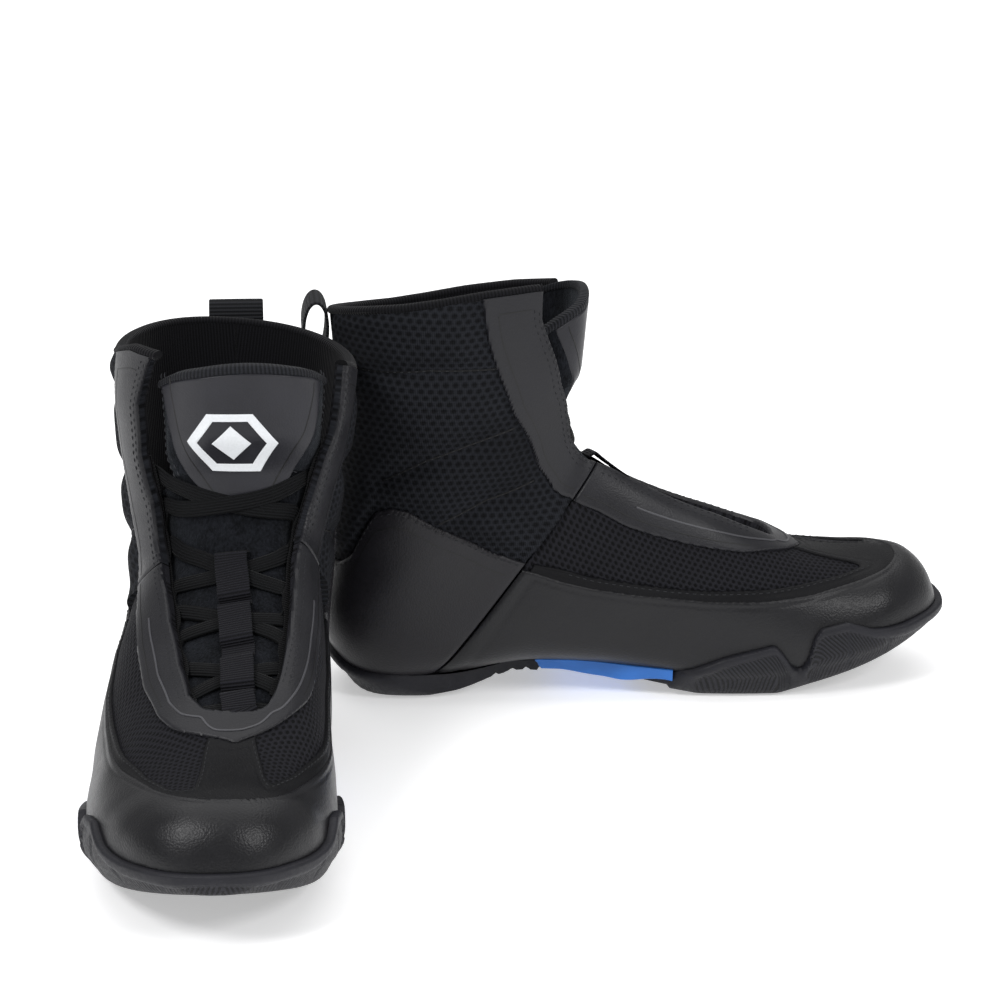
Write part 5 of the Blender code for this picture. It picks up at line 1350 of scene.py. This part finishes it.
def build_tongue():
    lower = Patch().cut(lambda r: (r[:, 0] - 6.25) * 12, False).cut(lambda r: (14.75 - r[:, 0]) * 12, False)
    lower.cut(lambda r: 170 * np.minimum(between(THROAT_LATERAL, np.maximum(r[:, 0], 6.9)) + 0.045 - r[:, 1], r[:, 1] - between(THROAT_MEDIAL, np.maximum(r[:, 0], 6.9)) + 0.045))
    rows = lower.rows
    soft = 0.5 * np.sin(rows[:, 0] * 5.1) * np.exp(-((rows[:, 1] - 0.1) / 0.12) ** 2) + 0.3 * np.sin(rows[:, 4] * 0.5 + rows[:, 1] * 30)
    both("tongue_lower", lower, -10.8, TONGUE + 0.5 * soft + rounding(lower.border(), 1.4, 1.2), "fleece", nodes=["tongue_lower"])

    def out(rows, depth):
        lift = flap_lift(rows[:, 0], rows[:, 1])
        return rows[:, 2:5] + rows[:, 5:8] * (depth + lift)[:, None]

    def spread(r):
        return (np.interp(r[:, 0], [13, 14, 16, 21], [0.15, 0.20, 0.26, 0.275]) - np.abs(r[:, 1] + 0.02)) * 150

    flap = Patch().cut(lambda r: (r[:, 0] - FLAP_HINGE) * 12).cut(spread).cut(lambda r: tongue_top(r[:, 1]) - 1.6 - r[:, 4], False)
    rows = flap.rows
    d = flap.border()
    # padding: full in the middle of the section below the shield, pressed at its foot's seam
    foot = (rows[:, 0] - FLAP_HINGE) * 12
    pad = 1.5 * smooth(0, 5, d) * (1 - 0.75 * np.exp(-((foot - 4.0) / 1.1) ** 2))
    wrinkle = 0.35 * np.sin(rows[:, 1] * 38 + rows[:, 4] * 0.21) * smooth(0, 5, d)
    both_flaps = both("tongue_flap", flap, lambda p: out(rows, np.full(len(rows), -10.8)),
                      lambda p: out(rows, TONGUE - 0.6 + pad + wrinkle + rounding(d, 1.6, 1.3)), "fleece", body="tongue", nodes=["tongue_flap"])

    fine_rows, fine_tris = finer(14.4, 20.6, -0.32, 0.28)

    edge = Patch(fine_rows, fine_tris).cut(spread, False).cut(lambda r: tongue_top(r[:, 1]) + 0.3 - r[:, 4], False).cut(lambda r: r[:, 4] - tongue_top(r[:, 1]) + 3.4, False)
    rows = edge.rows
    v = (tongue_top(rows[:, 1]) + 0.3 - rows[:, 4]) / 3.7 * 2 - 1
    roll = 0.9 * np.sqrt(np.clip(1 - v * v, 0, 1))
    points, tris, all_rows = edge.shell(lambda p: out(rows, -10.9 - roll * 0.6), lambda p: out(rows, TONGUE + 0.3 + roll * 1.3))
    for side in SIDES:
        make(side, "tongue_binding", points, tris, "binding", uvs={"strip": np.stack([all_rows[:, 1] * 150, all_rows[:, 4]], 1)}, body="tongue", nodes=["tongue_binding"])

    def shield(r, inset=0.0):
        half = np.interp(r[:, 4], [124, 126, 129, 136, 145, 158, 175, 190], [0.0, 0.055, 0.085, 0.125, 0.160, 0.200, 0.235, 0.25])
        middle = np.interp(r[:, 4], [126, 190], [0.035, -0.012])
        return np.minimum((half - inset / 150 - np.abs(r[:, 1] - middle)) * 138, (tongue_top(r[:, 1]) - 3.0 - r[:, 4]))

    patch = Patch(*finer(13.2, 20.6, -0.32, 0.30)).cut(shield)
    rows = patch.rows
    d = patch.border()
    lift = 1.6 - 0.7 * (1 - smooth(128, 142, rows[:, 4])) + rounding(d, 0.8, 0.7)
    points, tris, all_rows = patch.shell(lambda p: out(rows, np.full(len(rows), TONGUE - 0.2)), lambda p: out(rows, TONGUE + lift))
    for side in SIDES:
        bending(side, make(side, "tongue_patch", points, tris, "patch", uvs={"strip": np.stack([all_rows[:, 1] * 150, all_rows[:, 4]], 1)}, body="", nodes=["tongue_patch"]))
    # debossed lines down the shield's sides, drawn as flush dark bands: painted shade
    for sign in (1, -1):
        z = np.linspace(183.0 - (3 if sign > 0 else 5), 129.5, 90)
        t = np.interp(z, [126, 190], [0.035, -0.012]) + sign * np.interp(z, [124, 126, 129, 136, 145, 158, 175, 190], [0.0, 0.03, 0.052, 0.083, 0.118, 0.158, 0.192, 0.205])
        s = np.array([np.interp(b, P[S > 12, int((a + 1) / 2 * COLS), 2], S[S > 12]) for a, b in zip(t, z)])
        q, n = on_surface(s, t)
        level = TONGUE + 1.6 - 0.7 * (1 - smooth(128, 142, z)) + flap_lift(s, t)
        points, tris, uv = strip(q + n * (level - 0.42)[:, None], n, 0.75, 0.5, bulge=0.1)
        for side in SIDES:
            bending(side, make(side, f"patch_line_{sign + 1}", points, tris, "pressed_shade", uvs={"strip": uv}, body=""))

    # a plain geometric mark: a diamond inside a six-sided ring
    mark_rows, mark_tris = finer(14.9, 18.8, -0.11, 0.17, 0.22)

    def uv(r):
        return (r[:, 1] - 0.03) * 142, r[:, 4] - 153.5

    def hexagon(r, size):
        u, v = uv(r)
        return size - np.maximum(np.abs(u) * 0.5 * math.sqrt(3) + np.abs(v) * 0.5, np.abs(v))

    def diamond(r, size):
        u, v = uv(r)
        return size - (np.abs(u) + np.abs(v) * 0.8)

    for n, cuts in enumerate(([lambda r: hexagon(r, 13.6), lambda r: -hexagon(r, 10.2)], [lambda r: diamond(r, 6.6)])):
        m = Patch(mark_rows, mark_tris)
        for c in cuts:
            m.cut(c)
        rows = m.rows
        soft = rounding(m.border(), 0.4, 0.3)
        points, tris, _ = m.shell(lambda p: out(rows, np.full(len(rows), TONGUE + 1.2)), lambda p: out(rows, TONGUE + 1.95 + soft))
        for side in SIDES:
            make(side, f"tongue_mark_{n}", points, tris, "mark", body="tongue")

    # stitches: two rows along each of the flap's edges, and one across its foot
    def on_flap(points, depth):
        c, n = path3d(points, 200)
        s = np.interp(c[:, 2], *[np.array(a) for a in zip(*sorted((float(on_surface(np.array([k]), np.array([0.0]))[0][0, 2]), k) for k in np.linspace(13, 20.9, 60)))])
        p = np.array(points)
        run = np.linspace(0, 1, 200)
        raw = np.linspace(0, 1, len(p))
        ss, tt = np.interp(run, raw, p[:, 0]), np.interp(run, raw, p[:, 1])
        q, n = on_surface(ss, tt)
        return q + n * (depth + flap_lift(ss, tt))[:, None], n

    rows_of = []
    for sign in (1, -1):
        for inset in (1.8, 4.2):
            s = np.linspace(14.95, 19.4, 30)
            half = np.interp(s, [13, 14, 16, 21], [0.15, 0.20, 0.26, 0.275]) - inset / 150
            rows_of.append(on_flap([(a, sign * h - 0.02) for a, h in zip(s, half)], TONGUE + 0.75 - 0.1))
    foot_line = [(FLAP_HINGE + 0.33, t) for t in np.linspace(-0.19, 0.15, 20)]
    rows_of.append(on_flap(foot_line, TONGUE + 0.15))
    sewn("tongue_stitches", rows_of, "stitch_light", body="tongue")


# ---------------------------------------------------------------------- laces
def lace_path():
    low = TONGUE + 0.8
    high = low + 1.5
    half_way = low + 0.3 * (high - low)

    def edge(side, n):
        s = (LACE_LATERAL, LACE_MEDIAL)[side][n]
        return s, (between(THROAT_LATERAL, s), between(THROAT_MEDIAL, s))[side]

    def turn(side, n):
        (a, ta), (b, tb) = edge(side, n), edge(side, n + 1)
        reach = (0.034, -0.034)[side]
        return [(a + (b - a) * (1 - math.cos(u)) / 2, ta + (tb - ta) * (1 - math.cos(u)) / 2 + reach * math.sin(u), half_way)
                for u in np.linspace(0.35, math.pi - 0.35, 6)]

    def leg(side):
        path = []
        for n, crossing in enumerate(CROSSINGS):
            path += turn(side, 2 * n)
            over = (n % 2 == 0) == (side == 1)
            a, ta = edge(side, 2 * n + 1)
            b, tb = edge(1 - side, 2 * n + 2)
            c, tc = crossing, throat_middle(crossing)
            for f in np.linspace(0.0, 1.0, 13):
                w = 4 * f * (1 - f)
                sag = c - (a + b) / 2, tc - (ta + tb) / 2
                near = math.exp(-((f - 0.5) / 0.17) ** 2)
                path.append((a + (b - a) * f + sag[0] * w, ta + (tb - ta) * f + sag[1] * w,
                             half_way + (0.55 if over else -0.35) * near * (high - low)))
            side = 1 - side
        s, t = edge(side, 8)
        path.append((s + 0.25, t + (0.04, -0.04)[side], half_way))
        return path

    bar_ends = edge(0, 0), edge(1, 0)
    bar = [(bar_ends[0][0] + (bar_ends[1][0] - bar_ends[0][0]) * f, bar_ends[0][1] + (bar_ends[1][1] - bar_ends[0][1]) * f, half_way)
           for f in np.linspace(0, 1, 7)]
    return leg(0)[::-1] + bar + leg(1)


def chaikin(path, steps=2):
    for _ in range(steps):
        a, b = path[:-1], path[1:]
        path = np.concatenate([path[:1], np.stack([a * 0.75 + b * 0.25, a * 0.25 + b * 0.75], 1).reshape(-1, path.shape[1]), path[-1:]])
    return path


def spaced(path, step):
    run = np.concatenate([[0], np.cumsum(np.linalg.norm(np.diff(path[:, :3], axis=0), axis=1))])
    at = np.linspace(0, run[-1], max(int(run[-1] / step), 2) + 1)
    return np.stack([np.interp(at, run, path[:, c]) for c in range(path.shape[1])], 1)


def along_surface(rows, steps=2, step=1.2):
    s, t, off = np.array(rows).T
    q, n = on_surface(s, t)
    path = spaced(chaikin(np.concatenate([q + n * off[:, None], n], 1), steps), step)
    n = path[:, 3:] / np.linalg.norm(path[:, 3:], axis=1, keepdims=True)
    return path[:, :3], n


def build_lacing():
    q, n = along_surface(lace_path(), 3)
    points, tris, uv = strip(q - n * 0.45, n, 7.0, 1.15, bulge=0.35)
    laces = [make(side, "lace", points, tris, "lace", uvs={"strip": uv}, nodes=["lace"]) for side in SIDES]

    low, high = TONGUE + 0.5, TONGUE + 0.8 + 2.0 + 0.5 + 1.1
    stations = np.linspace(6.5, 11.8, 240)
    raised_ = sum(smooth(a - 0.04, a + 0.10, stations) - smooth(b - 0.10, b + 0.04, stations) for a, b in KEEPER_LOOPS)
    q, n = along_surface([(s, throat_middle(s), low + (high - low) * r) for s, r in zip(stations, raised_)], 1, 0.7)
    points, tris, uv = strip(q - n * 0.45, n, 14.0, 0.95, bulge=0.1)
    keepers = [make(side, "lace_keeper", points, tris, "keeper", uvs={"strip": uv}, nodes=["lace_keeper"]) for side in SIDES]

    for name, table, sign in (("lateral", THROAT_LATERAL, 1), ("medial", THROAT_MEDIAL, -1)):
        stations = np.linspace(7.1, 16.2, 200)
        wave = sum(np.exp(-(((stations - r) / 0.42) ** 4)) for r in LOOP_ROWS)
        q, n = along_surface([(s, between(table, s) + sign * 0.018, -5.0) for s in stations], 1, 1.0)
        w = np.interp(np.linspace(0, 1, len(q)), np.linspace(0, 1, len(wave)), 5.4 + 3.2 * np.minimum(wave, 1))
        points, tris, uv = strip(q - n * 0.3, n, w, 0.8, bulge=0.1)
        for side in SIDES:
            make(side, f"lace_loops_{name}", points, tris, "loops", uvs={"strip": uv}, nodes=[f"lace_loops_{name}"])
    return laces, keepers


# ------------------------------------------------------------------- pull tab
def build_tab():
    foot, _ = on_surface(np.array([18.6]), np.array([0.9999]))
    foot = foot[0] + np.array([-0.5, 0, 0]) + np.array([-2.3, 0, 0.5])
    lean = math.radians(-4.0)
    ex = np.array([-math.cos(lean), 0, math.sin(lean)])
    ey = np.array([math.sin(lean), 0, math.cos(lean)])
    a = np.linspace(0, 2 * math.pi, 181)[:-1]
    v = 15.5 - (15.5 - 0.65) * np.cos(a)
    u = 4.6 + (4.6 + 0.65) * np.sin(a) * (1.0 - 0.18 * np.cos(a)) - 0.085 * (v - 15.5)
    q = foot + u[:, None] * ex + v[:, None] * ey
    along = np.roll(q, -1, 0) - np.roll(q, 1, 0)
    along /= np.linalg.norm(along, axis=1, keepdims=True)
    out = np.cross(np.array([0, 1.0, 0]), along)
    out /= np.linalg.norm(out, axis=1, keepdims=True)
    if ((q - q.mean(0)) * out).sum() < 0:
        out = -out
    points, tris, uv = strip(q - out * 0.65, out, 24.0, 1.3, bulge=0.05, closed=True)
    for side in SIDES:
        make(side, "pull_tab", points, tris, "tab", uvs={"strip": uv}, body="tab", nodes=["pull_tab"])
    # box stitches at the foot
    rows = []
    for y in (-9.6, 9.6):
        h = np.linspace(3.0, 12.0, 20)
        k = [np.argmin(np.abs(v[:91] - w)) for w in h]
        rows.append((q[k] + out[k] * 0.75 + np.array([0, y, 0]), out[k]))
    for height in (3.0, 12.0):
        k = int(np.argmin(np.abs(v[:91] - height)))
        w = np.linspace(-9.6, 9.6, 30)
        rows.append((q[k] + out[k] * 0.75 + np.stack([w * 0, w, w * 0], 1), np.repeat(out[k][None], 30, 0)))
    sewn("tab_stitches", rows, "stitch_light", body="tab")


build_forefoot()
for _side in SIDES:
    build_shaft(_side)
build_heel()
build_sole()
build_inside()
build_tongue()
build_lacing()
build_tab()

# ------------------------------------------------------------ floor and light
world = bpy.data.worlds.new("studio")
bpy.context.scene.world = world
world.use_nodes = True
world.node_tree.nodes["Background"].inputs[0].default_value = (1, 1, 1, 1)
world.node_tree.nodes["Background"].inputs[1].default_value = 0.42

floor_mat = Nodes("pale_floor", (246, 246, 247), 0.6)
_cloud = floor_mat.noise(3.0, 2.0)
floor_mat.base(floor_mat.mix(_cloud, 0.985, 1.0))
floor_mat.bsdf.inputs["Emission Color"].default_value = (1, 1, 1, 1)
floor_mat.bsdf.inputs["Emission Strength"].default_value = 0.42
_mesh = bpy.data.meshes.new("floor")
_r = 4.0
_mesh.from_pydata([(-_r, -_r, -0.0005), (_r, -_r, -0.0005), (_r, _r, -0.0005), (-_r, _r, -0.0005)], [], [(0, 1, 2, 3)])
_mesh.materials.append(floor_mat.mat)
floor = bpy.data.objects.new("floor", _mesh)
bpy.context.scene.collection.objects.link(floor)


def lamp(name, place, aim, size, power):
    data = bpy.data.lights.new(name, "AREA")
    data.shape = "RECTANGLE"
    data.size, data.size_y = size
    data.energy = power
    obj = bpy.data.objects.new(name, data)
    obj.location = place
    from_to = np.array(aim) - np.array(place)
    obj.rotation_euler = Vector(from_to).to_track_quat("-Z", "Y").to_euler()
    bpy.context.scene.collection.objects.link(obj)
    return obj


lamp("key", (-1.1, -1.2, 1.7), (0, 0, 0.08), (0.6, 0.6), 22)
lamp("fill", (1.3, -1.3, 1.5), (0, 0, 0.08), (0.6, 0.6), 15)
lamp("top", (0.0, 1.0, 2.6), (0, 0.6, 0.0), (3.5, 3.5), 52)

camera_data = bpy.data.cameras.new("camera")
camera_data.lens = 126.358
camera_data.sensor_width = 36.0
camera = bpy.data.objects.new("camera", camera_data)
camera.location = (-0.024484, -1.413533, 0.583123)
camera.rotation_euler = (math.pi / 2 - 0.3139145, 0, -0.0038938)
bpy.context.scene.collection.objects.link(camera)
bpy.context.scene.camera = camera
bpy.context.scene.view_settings.view_transform = "Standard"
bpy.context.scene.view_settings.look = "None"
